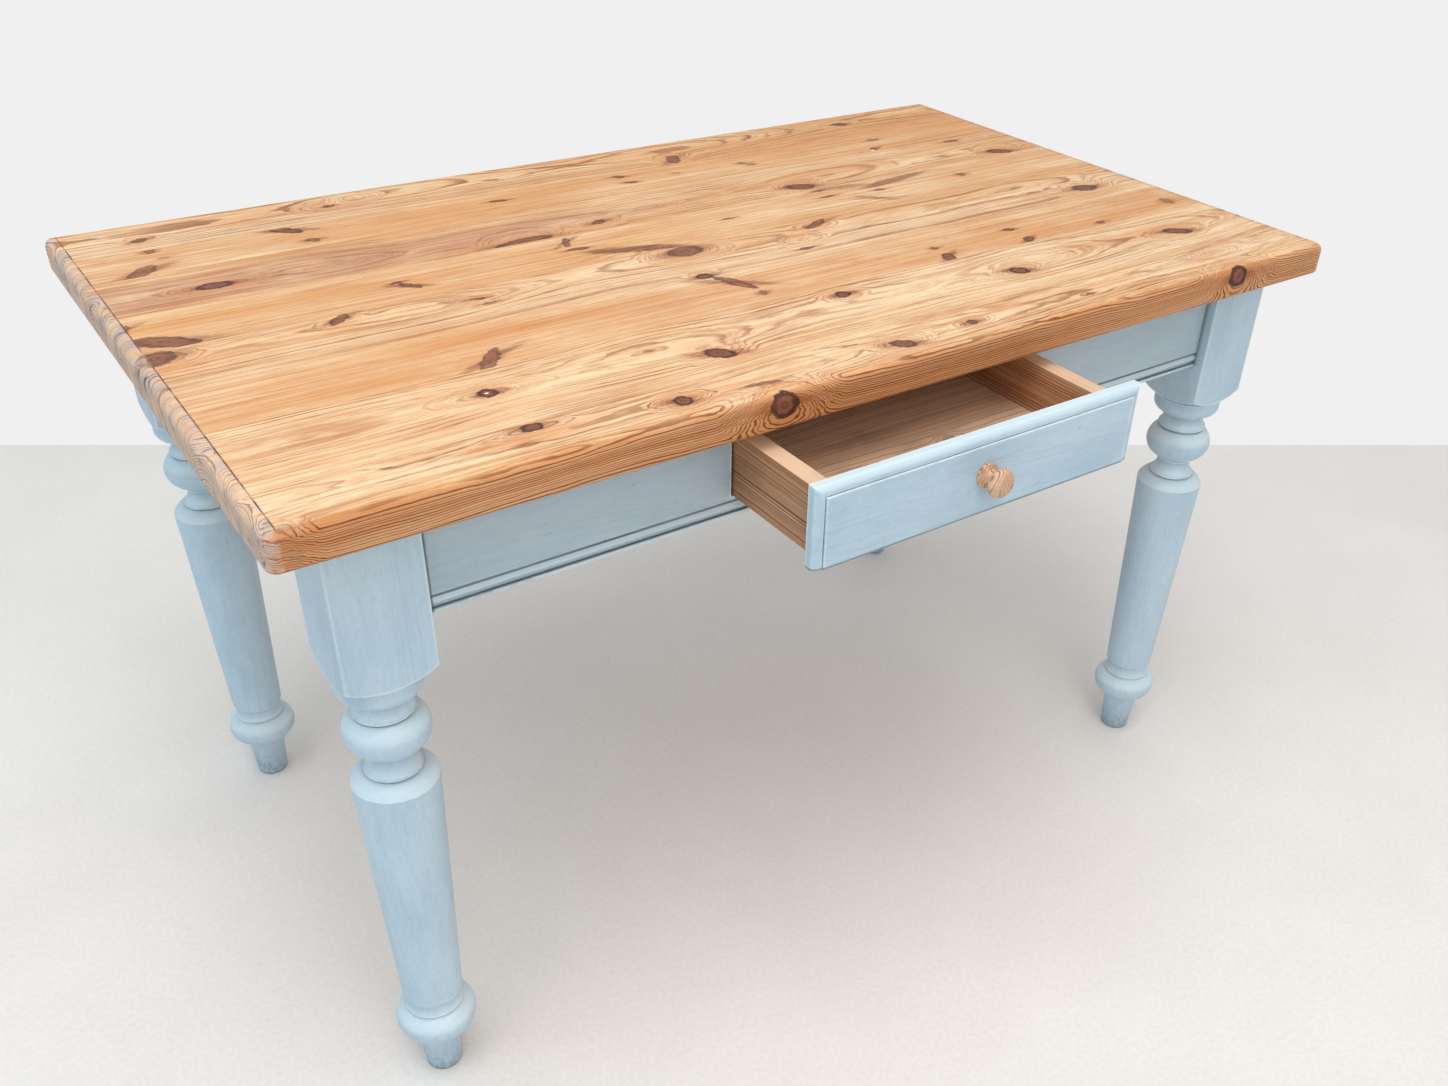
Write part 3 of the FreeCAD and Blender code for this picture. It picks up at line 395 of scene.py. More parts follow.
# %% The seven planks
TOP_FACE = 0.770
PLANKS = {
    "top_plank_1": dict(
        pith=-0.338, depth=0.085, ring=0.0019, heave=0.012, phase=0.5, clear=0.3,
        tone=0.32, lines=1.0, warm=0.5,
        knots=[
            (-395, -327, 20, 15, -12, 0.95, 3.2, 60, 14),
            (-258, -351, 17, 20, -25, 0.95, 5.6, 42, 24),
            (-175, -358, 34, 8, -8, 0.6, 0, 0, 0),
            (-168, -385, 30, 26, 0, 1.0, 14.4, 80, 34, 758, 26),
            (0, -354, 29, 18, -38, 0.9, 6.4, 50, 27), (100, -347, 14, 13, 0, 0.95, 4.0, 38, 18),
            (270, -354, 10, 5, 0, 0.7, 0.8, 20, 6),
            (487, -385, 30, 24, 15, 1.0, 14.4, 80, 34, 758, 24),
            (500, -334, 10, 8, 0, 0, 5.6, 60, 17), (-635, -381, 26, 16, 0, 0.25, 4.8, 34, 18),
        ]),
    "top_plank_2": dict(
        pith=-0.242, depth=0.080, ring=0.0030, heave=0.020, clear=0.15, tone=0.16,
        lines=0.95, warm=0.1,
        flecks=[(-401, -244, 2.6)],
        knots=[
            (-400, -244, 17, 16, 0, 1.0, 8.0, 80, 27), (30, -217, 18, 17, 0, 0.95, 4.0, 44, 22),
            (-170, -279, 34, 21, -38, 0.95, 4.0, 50, 30),
            (250, -261, 25, 18, -38, 0.95, 4.8, 48, 24),
            (520, -260, 37, 20, -30, 0.9, 5.6, 65, 27), (-230, -239, 12, 6, 0, 0.4, 1.6, 30, 8),
        ]),
    "top_plank_3": dict(
        pith=-0.030, depth=0.060, ring=0.0028, heave=0.026, clear=0.65, tone=0.25,
        lines=1.0, warm=0.2,
        band=(-0.1003, -0.1097, 0.5, "amber"),
        knots=[
            (-630, -18, 40, 32, 10, 0.75, 6.0, 60, 36), (-452, -12, 32, 13, 50, 0.8, 3.0, 36, 18),
            (-312, -31, 14, 6, -10, 0.8, 1.2, 30, 8), (-306, -48, 18, 7, 0, 0.5, 1.2, 30, 9),
            (-46, -17, 44, 30, 10, 0.75, 9.8, 70, 46), (142, -14, 46, 12, 28, 0.75, 3.0, 46, 26),
            (98, -52, 10, 8, 0, 0, 6.0, 44, 20), (82, -78, 20, 7, 0, 0.8, 1.2, 30, 8),
            (548, -75, 34, 24, -14, 0.85, 7.5, 66, 34), (-69, -95, 19, 17, 0, 0.95, 3.0, 34, 24),
            (-52, -128, 58, 15, -64, 0.8, 2.2, 30, 36), (-42, -168, 9, 15, 0, 0.6, 1.2, 18, 14),
            (-366, -178, 54, 15, 54, 0.75, 3.0, 60, 30), (214, -155, 9, 9, 0, 0.8, 0.8, 14, 8),
            (210, -186, 26, 15, 65, 0.85, 1.5, 26, 18), (338, -150, 13, 9, -20, 0.85, 1.2, 20, 10),
            (336, -187, 18, 12, 40, 0.85, 1.2, 30, 14), (460, -187, 12, 9, 0, 0.7, 0.8, 18, 9),
            (605, -170, 13, 24, 0, 0.5, 1.2, 20, 18), (472, -57, 28, 8, 0, 0.35, 0.9, 34, 10),
        ]),
    "top_plank_4": dict(
        pith=-0.060, depth=0.040, ring=0.0031, heave=0.012, tone=0.5, lines=0.6, warm=0.5,
        knots=[
            (-150, 77, 30, 9, 64, 0.8, 1.0, 34, 14), (-150, 50, 26, 8, -8, 0.8, 0.8, 34, 9),
            (-366, 54, 14, 7, 10, 0.9, 0.5, 24, 8), (-356, 39, 28, 10, -42, 0.85, 1.0, 34, 14),
            (-642, 64, 28, 12, 60, 0.7, 1.5, 34, 22), (-612, 18, 66, 24, -30, 0.75, 3.0, 56, 26),
            (-92, 19, 138, 24, -17, -1.0, 2.5, 90, 22), (60, 55, 16, 7, 0, 0.65, 0.6, 26, 8),
            (225, 90, 20, 8, 0, 0.6, 0.8, 30, 9), (222, 66, 26, 8, 0, 0.75, 0.8, 30, 9),
            (300, 56, 15, 8, -15, 0.65, 0.6, 24, 9), (440, 53, 11, 14, 0, 0.6, 0.6, 20, 12),
            (275, 30, 58, 9, -40, 0.45, 0.8, 40, 18), (345, 80, 150, 18, 8, -0.85, 1.5, 80, 16),
            (262, 88, 96, 15, -8, -0.7, 0, 0, 0),
        ]),
    "top_plank_5": dict(
        pith=0.142, depth=0.070, ring=0.0030, heave=0.024, clear=0.5, tone=0.45,
        lines=0.95, warm=0.3,
        band=(0.0778, 0.0655, 0.75, "heart"),
        knots=[
            (-530, 142, 40, 19, -4, 0.9, 6.4, 74, 22), (-190, 104, 74, 20, 4, 0.75, 9.6, 74, 46),
            (-82, 122, 19, 14, 20, 0.8, 4.8, 46, 24), (-5, 141, 10, 8, 0, 0, 4.8, 66, 14),
            (213, 117, 40, 22, -25, 0.85, 6.4, 52, 32), (568, 113, 38, 17, -30, 0.85, 6.4, 56, 34),
            (540, 188, 26, 10, 0, 0.7, 1.6, 34, 12), (-380, 138, 10, 8, 0, 0, 3.2, 70, 9),
        ]),
    "top_plank_6": dict(
        pith=0.330, depth=0.030, ring=0.0029, heave=0.010, tone=0.62, lean=0.9,
        lines=0.7, warm=0.8,
        flecks=[(408, 205, 4.0)],
        knots=[
            (-560, 278, 10, 17, 0, 0.65, 0.8, 24, 14), (-552, 250, 10, 6, 0, 0.4, 0.4, 18, 7),
            (-585, 215, 50, 20, 48, 0.65, 2.0, 56, 26), (-412, 275, 42, 16, -40, 0.9, 1.5, 50, 20),
            (-396, 228, 15, 14, 0, 0.65, 1.0, 28, 14), (-152, 254, 21, 10, -12, 0.8, 1.0, 34, 13),
            (28, 268, 17, 11, -35, 0.75, 0.8, 26, 12), (32, 241, 17, 9, -15, 0.75, 0.8, 26, 12),
            (105, 247, 12, 6, -20, 0.35, 0.4, 20, 8), (206, 243, 14, 9, -30, 0.65, 0.6, 24, 11),
            (213, 231, 12, 9, -30, 0.55, 0.5, 22, 10), (440, 247, 17, 10, 0, 0.55, 0.6, 26, 11),
            (410, 206, 26, 9, 52, 0.9, 1.5, 40, 16),
        ]),
    "top_plank_7": dict(
        pith=0.350, depth=0.075, ring=0.0030, heave=0.022, tone=0.62, lean=0.9,
        lines=1.0, warm=0.5,
        knots=[
            (-560, 320, 17, 14, 30, 0.8, 2.2, 34, 18), (-340, 335, 12, 10, 0, 0.9, 3.0, 60, 20),
            (-298, 352, 10, 8, 0, 0, 5.2, 44, 30), (-122, 335, 14, 6, -25, 0.55, 0.9, 26, 9),
            (134, 302, 34, 20, 70, 0.75, 6.0, 50, 32), (450, 338, 23, 16, -30, 0.9, 3.8, 46, 22),
        ]),
}
for name, plank in PLANKS.items():
    print(name, "has", len(plank["knots"]), "knots, bends and streaks")

# %% [markdown]
# ## The colours of old pine
# Fresh pine is nearly white. Under wax and daylight it turns to honey and amber, the late
# lines go a reddish brown, and knots go darkest, with a black ring of bark round those that
# were dead branches. The colours are given as on a paint chart.

# %% Wood colours
WOODS = {
    "pale": tint(244, 213, 173),
    "honey": tint(226, 172, 118),
    "amber": tint(212, 142, 82),
    "blush": tint(222, 154, 104),
    "line": tint(178, 102, 46),
    "late": tint(128, 62, 24),
    "heart": tint(186, 128, 98),
    "stain": tint(126, 67, 40),
}
WEAR = {
    "grey": tint(194, 178, 170),
    "tan": tint(224, 190, 168),
    "open line": tint(112, 78, 62),
    "crack": tint(70, 46, 38),
    "score": tint(112, 72, 52),
    "underside": tint(196, 160, 122),
    "edge": tint(190, 116, 58),
    "edge line": tint(112, 60, 28),
    "resin": tint(244, 236, 222),
}
KNOT_STOPS = [
    (0.0, tint(136, 84, 60)), (0.10, tint(84, 46, 36)), (0.22, tint(136, 80, 58)),
    (0.40, tint(100, 54, 42)), (0.49, tint(32, 17, 13)), (0.55, tint(70, 38, 26)),
    (0.72, tint(178, 108, 58)),
]
print("wood colours:", len(WOODS), "colours of wear:", len(WEAR))

# %% [markdown]
# ## Timber
# The colour goes on in the order in which the tree made it: slow drifts of tone, rosy clouds,
# amber streaks along the grain, the year lines, then fibres and pores too fine to see one by
# one, and last the knots. The same values drive the relief, so that dark late wood also
# stands up a little, as it does once soft early wood has worn down.


# %% Grain
HALF_LENGTH = 0.65
HAIR_LINES = 520.0


def grain(finish, board, seeded, bent, along, grown):
    """What varies in pine besides its years, from slow drifts of tone to single pores."""
    tree = board["tree"]
    own_tree = (tree * TREE_STEP[0], 0.0, 0.0)
    return dict(
        drift=finish.noise(finish.stretch(seeded, (1.4, 20, 20)), 4.0, 0.6),
        cloud=finish.noise(finish.stretch(seeded, (9, 22, 22)), 3.0, 0.6),
        blush=finish.noise(finish.stretch(seeded, (5, 17, 17), (4.0, 9.0, 0.0)), 4.0, 0.65),
        fibre=finish.noise(finish.stretch(seeded, (14, 700, 700)), 3.0, 0.7),
        hair=finish.noise(finish.join(along * 4.0, grown * HAIR_LINES, tree), 3.0, 0.8),
        streak=finish.noise(finish.stretch(bent, (2.2, 230, 230), own_tree), 4.0, 0.75),
        season=finish.wander(grown * 130.0, tree * 3.3),
        pores=finish.noise(finish.stretch(seeded, (38, 1100, 1100)), 1.0),
    )


def early_wood(finish, board, look, along):
    """The colour between the year lines."""
    tone = board["tone"] + (look["drift"] - 0.5) * 3.2 + (look["cloud"] - 0.5) * 0.8
    # painted shade: with lean, the back planks darken towards the far right end
    tone = tone + look["season"] * 0.9 + along * board.get("lean", 0.0)
    tone = tone.to("MAXIMUM", 0.0).to("MINIMUM", 1.0)
    rosy = look["blush"].fade(0.48, 0.72, 0.0, 0.35 + 0.45 * board["warm"])
    amber = look["streak"].fade(0.44, 0.66, 0.0, 0.55 + 0.4 * board["warm"])
    colour = finish.blend(tone, WOODS["pale"], WOODS["honey"])
    colour = finish.blend(rosy, colour, WOODS["blush"])
    colour = finish.blend(amber, colour, WOODS["amber"])
    return finish.blend(look["hair"].fade(0.46, 0.70, 0.0, 0.6), colour, WOODS["line"])


def darker_band(finish, board, look, along, grown, swell, colour):
    """Heartwood or a resinous streak on the pith's side of an edge along the plank."""
    left, right_end, amount, kind = board["band"]
    edge = along.fade(-HALF_LENGTH, HALF_LENGTH, abs(left), abs(right_end))
    past = (grown + swell * board["ring"] * 0.7 - edge) * (-1 if left < 0 else 1)
    patchy = look["cloud"].fade(0.25, 0.6, 0.35, 1.0) * look["streak"].fade(0.3, 0.6, 0.6, 1.0)
    share = past.fade(0.003, -0.003, 0.0, amount) * patchy
    return finish.blend(share, colour, WOODS[kind])


print("the fine lines start at", round(1000 / HAIR_LINES, 1), "mm apart and get finer")

# %% [markdown]
# A knot gets its own colour from a ramp over the distance from its middle, shaken a little so
# that its rings aren't perfectly round. Its stain creeps out along the grain, strongest in the late
# lines, and the wood round it is rosier.


# %% Knots in the timber
SHAKE_SIZE, SHAKE_PUSH = (110, 170, 170), (0.010, 0.0065, 0.0)


def with_knots(finish, look, late, knot_values, seeded, colour, height):
    """Adds the rosy halo, the stained tail and the knot itself, which is sunk a little."""
    near, cover, tail, _ = knot_values
    halo = near.fade(4.0, 1.0, 0.0, 0.5) * look["streak"].fade(0.35, 0.6, 0.4, 1.0)
    colour = finish.blend(halo, colour, WOODS["blush"])
    feather = late.to("MAXIMUM", look["hair"].fade(0.42, 0.58))
    feather = feather.to("MAXIMUM", look["streak"].fade(0.42, 0.6))
    colour = finish.blend(tail * (0.45 + 0.55 * feather), colour, WOODS["stain"])
    rays = finish.noise(finish.stretch(seeded, (260, 260, 60)), 2.0)
    shaken = (near * 16.0 + rays * 5.0).to("SINE") * 0.05 + (look["cloud"] - 0.5) * 0.2
    knot = finish.ramp(near / 1.9 + shaken, KNOT_STOPS)
    colour = finish.blend(cover * rays.fade(0.2, 0.5, 0.75, 1.0), colour, knot)
    sunk = cover * near.fade(1.2, 0.85, 0.0, 0.35)
    return colour, height - sunk + rays * cover * 0.2


def timber(finish, board):
    """The bare wood of a board: its colour, a height for the relief, and what is behind them."""
    laid, seeded, bent = board_places(finish, board)
    shake = finish.noise(finish.stretch(seeded, SHAKE_SIZE), 3.0, out="Color")
    shake = finish.vector("MULTIPLY", finish.vector("SUBTRACT", shake, MIDDLE), SHAKE_PUSH)
    ragged = finish.vector("ADD", bent, shake)
    knot_values = knots_in(finish, ragged, board.get("knots", []))
    near, cover, _, swell = knot_values
    late, flat, grown, along = growth(finish, board, bent, swell)
    look = grain(finish, board, seeded, bent, along, grown)

    colour = early_wood(finish, board, look, along)
    if "band" in board:
        colour = darker_band(finish, board, look, along, grown, swell, colour)
    worn_clean = look["blush"].fade(0.40, 0.56, board.get("clear", 1.0), 1.0)
    if board.get("knots"):
        worn_clean = near.fade(6.0, 2.5).to("MAXIMUM", worn_clean)
    strength = board["lines"] * (0.75 + 0.25 * flat) * look["cloud"].fade(0.28, 0.62, 0.45, 1.0)
    strength = strength * worn_clean
    year_line = finish.blend(flat, WOODS["line"], WOODS["late"])
    colour = finish.blend(late * strength, colour, year_line)
    colour = finish.blend(look["fibre"].fade(0.5, 0.78, 0.0, 0.5), colour, WOODS["line"])
    colour = finish.blend(look["pores"].fade(0.64, 0.74, 0.0, 0.55), colour, WOODS["stain"])
    height = 0.5 + late * 0.25 * strength + (look["fibre"] - 0.5) * 0.35
    if board.get("knots"):
        colour, height = with_knots(finish, look, late, knot_values, seeded, colour, height)
    return dict(
        colour=colour, height=height, laid=laid, seeded=seeded, late=late, cover=cover, **look
    )


print("a knot's colour has", len(KNOT_STOPS), "stops from its heart to the wood round it")

# %% [markdown]
# ## Waxed planks
# Years in a kitchen did the rest: the open grain past the scored line near each end went grey
# and tan and cracked here and there, the scored line took up dirt, the long edges went darker
# where hands hold them, the underside never saw wax, and there are small dents. The left end
# is the weathered one. The right end gets the same, weaker.

# %% Waxed planks
SCORE_LINE = 0.637
SCORE_HALF_WIDTH, SCORE_DEPTH = 0.0012, 0.0025
RELIEF_OF_WOOD = 0.0006
SHINE_OF_WAX = {"Specular IOR Level": 0.3}


def weathered_end(finish, wood, colour, end, end_grain, kept, blotch):
    """Greys the wood past the scored line; also gives how weathered and how cracked it is."""
    past_line = end.fade(SCORE_LINE - 0.001, SCORE_LINE + 0.002) * kept
    patches = past_line * (0.25 + 0.75 * blotch.fade(0.36, 0.6))
    weathered = patches.to("MAXIMUM", end_grain * 0.85)
    bleached = finish.blend(blotch.fade(0.4, 0.62), WEAR["tan"], WEAR["grey"])
    colour = finish.blend(weathered * 0.85, colour, bleached)
    lines = weathered * wood["late"].fade(0.1, 0.8) * 0.85
    colour = finish.blend(lines, colour, WEAR["open line"])
    split = finish.noise(finish.stretch(wood["seeded"], (6, 46, 14)), 1.0, 0.5)
    crack = (split - 0.5).to("ABSOLUTE").fade(0.012, 0.003) * blotch.fade(0.5, 0.6) * past_line
    return finish.blend(crack * 0.75, colour, WEAR["crack"]), weathered, crack


def waxed_plank(name, plank, number):
    """A plank of the top: its timber, then the wear of each end, face and edge."""
    finish = Finish("waxed_" + name)
    wood = timber(finish, dict(axes="xyz", face=TOP_FACE, tree=number, **plank))
    along, _, through = finish.split(wood["laid"])
    face_x, face_y, face_z = finish.facing()
    end = along.to("ABSOLUTE")
    kept = along.fade(0.3, 0.5, 1.0, 0.35)
    end_grain = face_x.to("ABSOLUTE").fade(0.35, 0.8)
    blotch = finish.noise(finish.stretch(wood["seeded"], (45, 40, 60)), 4.0, 0.6)
    colour, weathered, crack = weathered_end(
        finish, wood, wood["colour"], end, end_grain, kept, blotch
    )

    score = (end - SCORE_LINE).to("ABSOLUTE").fade(SCORE_HALF_WIDTH, 0.0004)
    score = score * through.fade(TOP_FACE - SCORE_DEPTH, TOP_FACE - 0.0015)
    colour = finish.blend(score * kept * blotch.fade(0.35, 0.6, 0.05, 0.7), colour, WEAR["score"])
    under = face_z.fade(-0.3, -0.8)
    colour = finish.blend(under * 0.55, colour, WEAR["underside"])
    edge = face_y.to("ABSOLUTE").fade(0.3, 0.95) * (1.0 - weathered) * (1.0 - wood["cover"])
    colour = finish.blend(edge * 0.62, colour, WEAR["edge"])
    edge_line = edge * wood["late"].fade(0.05, 0.45, 0.0, 0.9)
    colour = finish.blend(edge_line, colour, WEAR["edge line"])
    for spot_x, spot_y, size in plank.get("flecks", []):
        drop = (size * MM, size * MM * 0.7, 1000.0)
        away = finish.ellipse(wood["laid"], (spot_x * MM, spot_y * MM, 0.0), drop)
        colour = finish.blend(away.fade(1.0, 0.6), colour, WEAR["resin"])

    dents = finish.noise(finish.stretch(wood["seeded"], (55, 70, 70)), 2.0).fade(0.66, 0.78)
    height = wood["height"] - dents * 0.5 + blotch * weathered - crack
    roughness = 0.54 + (wood["drift"] - 0.5) * 0.25 + weathered * 0.25 + under * 0.2
    return finish.surface(colour, roughness, height, RELIEF_OF_WOOD, **SHINE_OF_WAX)


for number, (name, plank) in enumerate(PLANKS.items(), start=1):
    give(name, waxed_plank(name, plank, number))
print("waxed", len(PLANKS), "planks")

# %% [markdown]
# ## Brushed paint
# The base is painted a pale grey-blue with a brush. Under the paint the grain still stands up
# a little. The sharp edges are painted lighter, as paint worn thin and as a painted highlight,
# and the grooves are painted darker, as paint lying thick and as painted shade. The Ambient
# Occlusion node finds both: a short ray outwards meets the opposite wall in a groove, and a short
# ray inwards leaves the wood again near an edge.
#
# Dirt and painted shade are the other half of an old paint job. Real dirt gathers on the feet,
# where a mop goes past. The narrow grooves, the corner where an apron meets a leg and the quirks
# of the aprons' bead are painted darker, as dirt and as the shade that falls in them, and the
# lower edge of the drawer's front is painted darker too. Those places are known from the joinery,
# so they are given in metres. The ray for corners sees the neighbouring pieces too, so it also
# paints the shade under the top. That is right only for pieces that never move against each
# other, so the drawer's front does without it.

# %% Paint colours
PAINT = tint(178, 201, 216)
# pale paint for thin coats and scratches, also the painted highlight on edges and upward faces
PAINT_THIN_AND_LIT = tint(220, 234, 240)
PAINT_DEEP = tint(128, 148, 160)
# dark grey for dirt, also used for painted shade in grooves, corners, seams and quirks
DIRT_AND_SHADE = tint(62, 72, 78)
# grey-blue for the aprons: dulled paint, also painted shade from the top above them
DULLED_AND_SHADED = tint(150, 158, 160)
UNDERCOAT = tint(104, 80, 66)
BARE_INSIDE, BARE_INSIDE_LATE = tint(190, 148, 108), tint(136, 92, 60)
GROOVE_REACH, EDGE_REACH, CORNER_REACH = 0.005, 0.0025, 0.010
SEAM_SOFTNESS, QUIRK_SOFTNESS = 0.0012, 0.0004
# levels, half widths and strengths of the dark lines of dirt and painted shade in the quirks
QUIRK_DIRT_AND_SHADE = [(0.6359, 0.0021, 0.8), (0.6228, 0.0009, 0.25)]
FOOT_DIRT_HEIGHT = 0.055
RELIEF_OF_PAINT = 0.0005
print("quirks at", [level for level, _, _ in QUIRK_DIRT_AND_SHADE], "m above the floor")

# %% [markdown]
# The coat itself is mixed first: clouds where the brush left more or less, brush marks along
# the grain, specks, and on the aprons a greyer paint that is also painted shade from the top.
# Then come dirt and painted shade, wear and painted highlights, and the few chips that reach
# the undercoat.


# %% Coat, dirt and painted shade
def brushed_coat(finish, board, cloud, brush, speck, late):
    """The coat before wear: uneven, with brush marks and a hint of the grain below; the aprons'
    paint is also greyed, as dulled paint and as painted shade from the top.
    """
    colour = finish.blend(cloud.fade(0.35, 0.75, 0.0, 0.25), PAINT, PAINT_THIN_AND_LIT)
    for share in (
        cloud.fade(0.5, 0.2, 0.0, 0.2), brush.fade(0.45, 0.8, 0.0, 0.14),
        speck.fade(0.5, 0.8, 0.0, 0.18), late * 0.08,
    ):
        colour = finish.blend(share, colour, PAINT_DEEP)
    # dulled paint and painted shade: the aprons under the top are greyed
    if "dull_and_shade" in board:
        colour = finish.blend(board["dull_and_shade"], colour, DULLED_AND_SHADED)
    return colour


def known_dirt_and_shade(finish, board, laid, cloud, speck, colour):
    """Darkening at places known from the joinery: dirt and painted shade at the seams and quirks,
    a darker line along the drawer's lip, and dirt on the feet.
    """
    along, level, _ = finish.split(laid)
    patchy = cloud.fade(0.25, 0.6, 0.7, 1.0)
    if "seam" in board:
        first, last = board["seam"]
        first_seam = along.fade(first + SEAM_SOFTNESS, first - SEAM_SOFTNESS)
        last_seam = along.fade(last - SEAM_SOFTNESS, last + SEAM_SOFTNESS)
        seam = first_seam.to("MAXIMUM", last_seam)
        # painted shade and dirt: a dark strip at each end of an apron, in the corner where it meets
        # a leg
        colour = finish.blend(seam * patchy * 0.8, colour, DIRT_AND_SHADE)
        # painted shade and dirt: dark lines along the quirks above and below the bead
        for quirk, half_width, amount in QUIRK_DIRT_AND_SHADE:
            away = (level - quirk).to("ABSOLUTE")
            line = away.fade(half_width + QUIRK_SOFTNESS, half_width - QUIRK_SOFTNESS, 0.0, amount)
            colour = finish.blend(line * patchy, colour, DIRT_AND_SHADE)
    if "lip" in board:
        # a darker line along the lower edge of the drawer's front
        low = level.fade(board["lip"] + 0.0028, board["lip"] + 0.0012, 0.0, 0.75)
        colour = finish.blend(low * patchy, colour, DIRT_AND_SHADE)
    if "foot" in board:
        low = along.fade(FOOT_DIRT_HEIGHT, 0.0, 0.0, board["foot"])
        scuffed = low * (cloud + (speck - 0.5)).fade(0.3, 0.6, 0.3, 1.0)
        colour = finish.blend(scuffed, colour, DIRT_AND_SHADE)
    return colour


print("feet are dirty up to", FOOT_DIRT_HEIGHT, "m")

# %% [markdown]
# Nobody paints what nobody sees: the inner faces of the aprons and of the drawer's front are
# bare pine, which shows when the drawer is open. Each such piece names the direction its bare
# side looks in. The ray inwards finds the sharp edges: there the paint is made paler, as paint
# worn thin and as a painted highlight, and chips are likelier.


# %% Painted pieces
def painted(name, board, bare_side=None):
    """Brushed paint over the board's grain; bare_side is the face that never saw the brush."""
    finish = Finish(name)
    laid, seeded, bent = board_places(finish, board)
    late = growth(finish, board, bent, 0.0)[0]
    brush = finish.noise(finish.stretch(seeded, (12, 380, 380)), 3.0, 0.65)
    cloud = finish.noise(finish.stretch(seeded, (7, 16, 16)), 4.0, 0.6)
    speck = finish.noise(finish.stretch(seeded, (120, 200, 200)), 3.0, 0.6)
    groove = finish.openness(GROOVE_REACH)
    edge = finish.openness(EDGE_REACH, inside=True)
    corner = groove
    if board.get("still", True):
        corner = finish.openness(CORNER_REACH, samples=6, local=False)
    facing = finish.facing()

    colour = brushed_coat(finish, board, cloud, brush, speck, late)
    # painted shade: narrow grooves are darker, as paint lying thick and as the shade that falls in
    # them
    colour = finish.blend(groove.fade(0.9, 0.55, 0.0, 0.4), colour, PAINT_DEEP)
    # painted shade with dirt: darker where neighbouring pieces hem the paint in, as under the top
    # and beside a leg
    colour = finish.blend(corner.fade(0.78, 0.42, 0.0, 0.75), colour, DIRT_AND_SHADE)
    # dirt and painted shade: the narrowest grooves are darker still
    colour = finish.blend(groove.fade(0.62, 0.34, 0.0, 0.85), colour, DIRT_AND_SHADE)
    # painted light: faces turned upwards, such as the top of the aprons' bead, are painted paler,
    # as if lit from above
    top_light = facing[2].fade(0.05, 0.55, 0.0, 0.6) * groove.fade(0.3, 0.6)
    colour = finish.blend(top_light, colour, PAINT_THIN_AND_LIT)
    # worn paint and painted highlight: the sharp edges are painted paler
    worn_and_highlit = edge.fade(0.97, 0.68) * (cloud + (speck - 0.5) * 0.6).fade(0.3, 0.55, 0.25, 1.0)
    colour = finish.blend(worn_and_highlit * 0.85, colour, PAINT_THIN_AND_LIT)
    colour = known_dirt_and_shade(finish, board, laid, cloud, speck, colour)
    scratch = finish.noise(finish.stretch(seeded, (36, 11, 11)), 1.0)
    scratch = (scratch - 0.5).to("ABSOLUTE").fade(0.0030, 0.001) * cloud.fade(0.54, 0.66)
    colour = finish.blend(scratch * 0.3, colour, PAINT_THIN_AND_LIT)
    chip = (speck + (1.0 - edge) * 0.15 + (cloud - 0.5) * 0.2).fade(0.765, 0.78)
    colour = finish.blend(chip * 0.85, colour, UNDERCOAT)

    height = brush * 0.7 + speck * 0.3 + late * 0.45 - chip * 0.6 + cloud * 0.4 - scratch * 0.2
    roughness = 0.44 + (brush - 0.5) * 0.25 + chip * 0.3
    if bare_side:
        axis, sign = bare_side
        bare_share = (facing[axis] * sign + (speck - 0.5) * 0.3).fade(0.55, 0.8)
        lined = (late + (brush - 0.5) * 1.2).fade(0.0, 1.0)
        wood = finish.blend(lined, BARE_INSIDE, BARE_INSIDE_LATE)
        colour = finish.blend(bare_share, colour, wood)
        roughness = roughness + bare_share * 0.2
    return finish.surface(colour, roughness, height, RELIEF_OF_PAINT)


LEG = dict(axes="zxy", depth=0.0, ring=0.004, foot=0.45)
PANEL = dict(ring=0.0034)
# the aprons are greyed, partly as painted shade from the top
LONG_APRON = dict(PANEL, axes="xzy", dull_and_shade=0.35, seam=(-0.5078, 0.5122))
SHORT_APRON = dict(PANEL, axes="yzx", dull_and_shade=0.35, seam=(-0.256, 0.256))
PAINTED = {
    "leg_front_left": dict(LEG, pith=-0.570, face=-0.290, tree=21),
    "leg_front_right": dict(LEG, pith=0.572, face=-0.318, tree=22),
    "leg_back_left": dict(LEG, pith=-0.545, face=0.315, tree=23),
    "leg_back_right": dict(LEG, pith=0.549, face=0.290, tree=24),
    "apron_front": dict(LONG_APRON, face=-0.3325, tree=25, pith=0.68, depth=-0.05),
    "apron_back": dict(LONG_APRON, face=0.3325, tree=26, pith=0.66, depth=0.05),
    "apron_left": dict(SHORT_APRON, face=-0.5885, tree=27, pith=0.70, depth=-0.05),
    "apron_right": dict(SHORT_APRON, face=0.5885, tree=28, pith=0.67, depth=0.05),
    "drawer_front": dict(
        PANEL, axes="xzy", face=-0.4885, tree=29, pith=0.70, depth=-0.05, still=False, lip=0.640
    ),
}
X, Y = 0, 1
BARE_SIDES = {
    "apron_front": (Y, 1), "apron_back": (Y, -1), "apron_left": (X, 1), "apron_right": (X, -1),
    "drawer_front": (Y, 1),
}
for name, board in PAINTED.items():
    give(name, painted("painted_" + name, board, BARE_SIDES.get(name)))
print("painted", len(PAINTED), "pieces")

# %% [markdown]
# ## Bare pine
# Inside, the pine was never waxed or painted: it has gone brown and dull, and the grain runs
# along each piece. The upper rims of the drawer's sides are rubbed pale by hands. The bottom
# boards are paler than the sides, as paler wood and as painted light for the daylight that falls
# into the open drawer, and the right side is paler than the left one, as painted light on its
# inner face, which looks towards the window.

# %% Bare pieces
AGED_LINE, GRIME, RUBBED = tint(84, 52, 34), tint(112, 82, 62), tint(232, 196, 164)
RELIEF_OF_BARE_WOOD = 0.0005


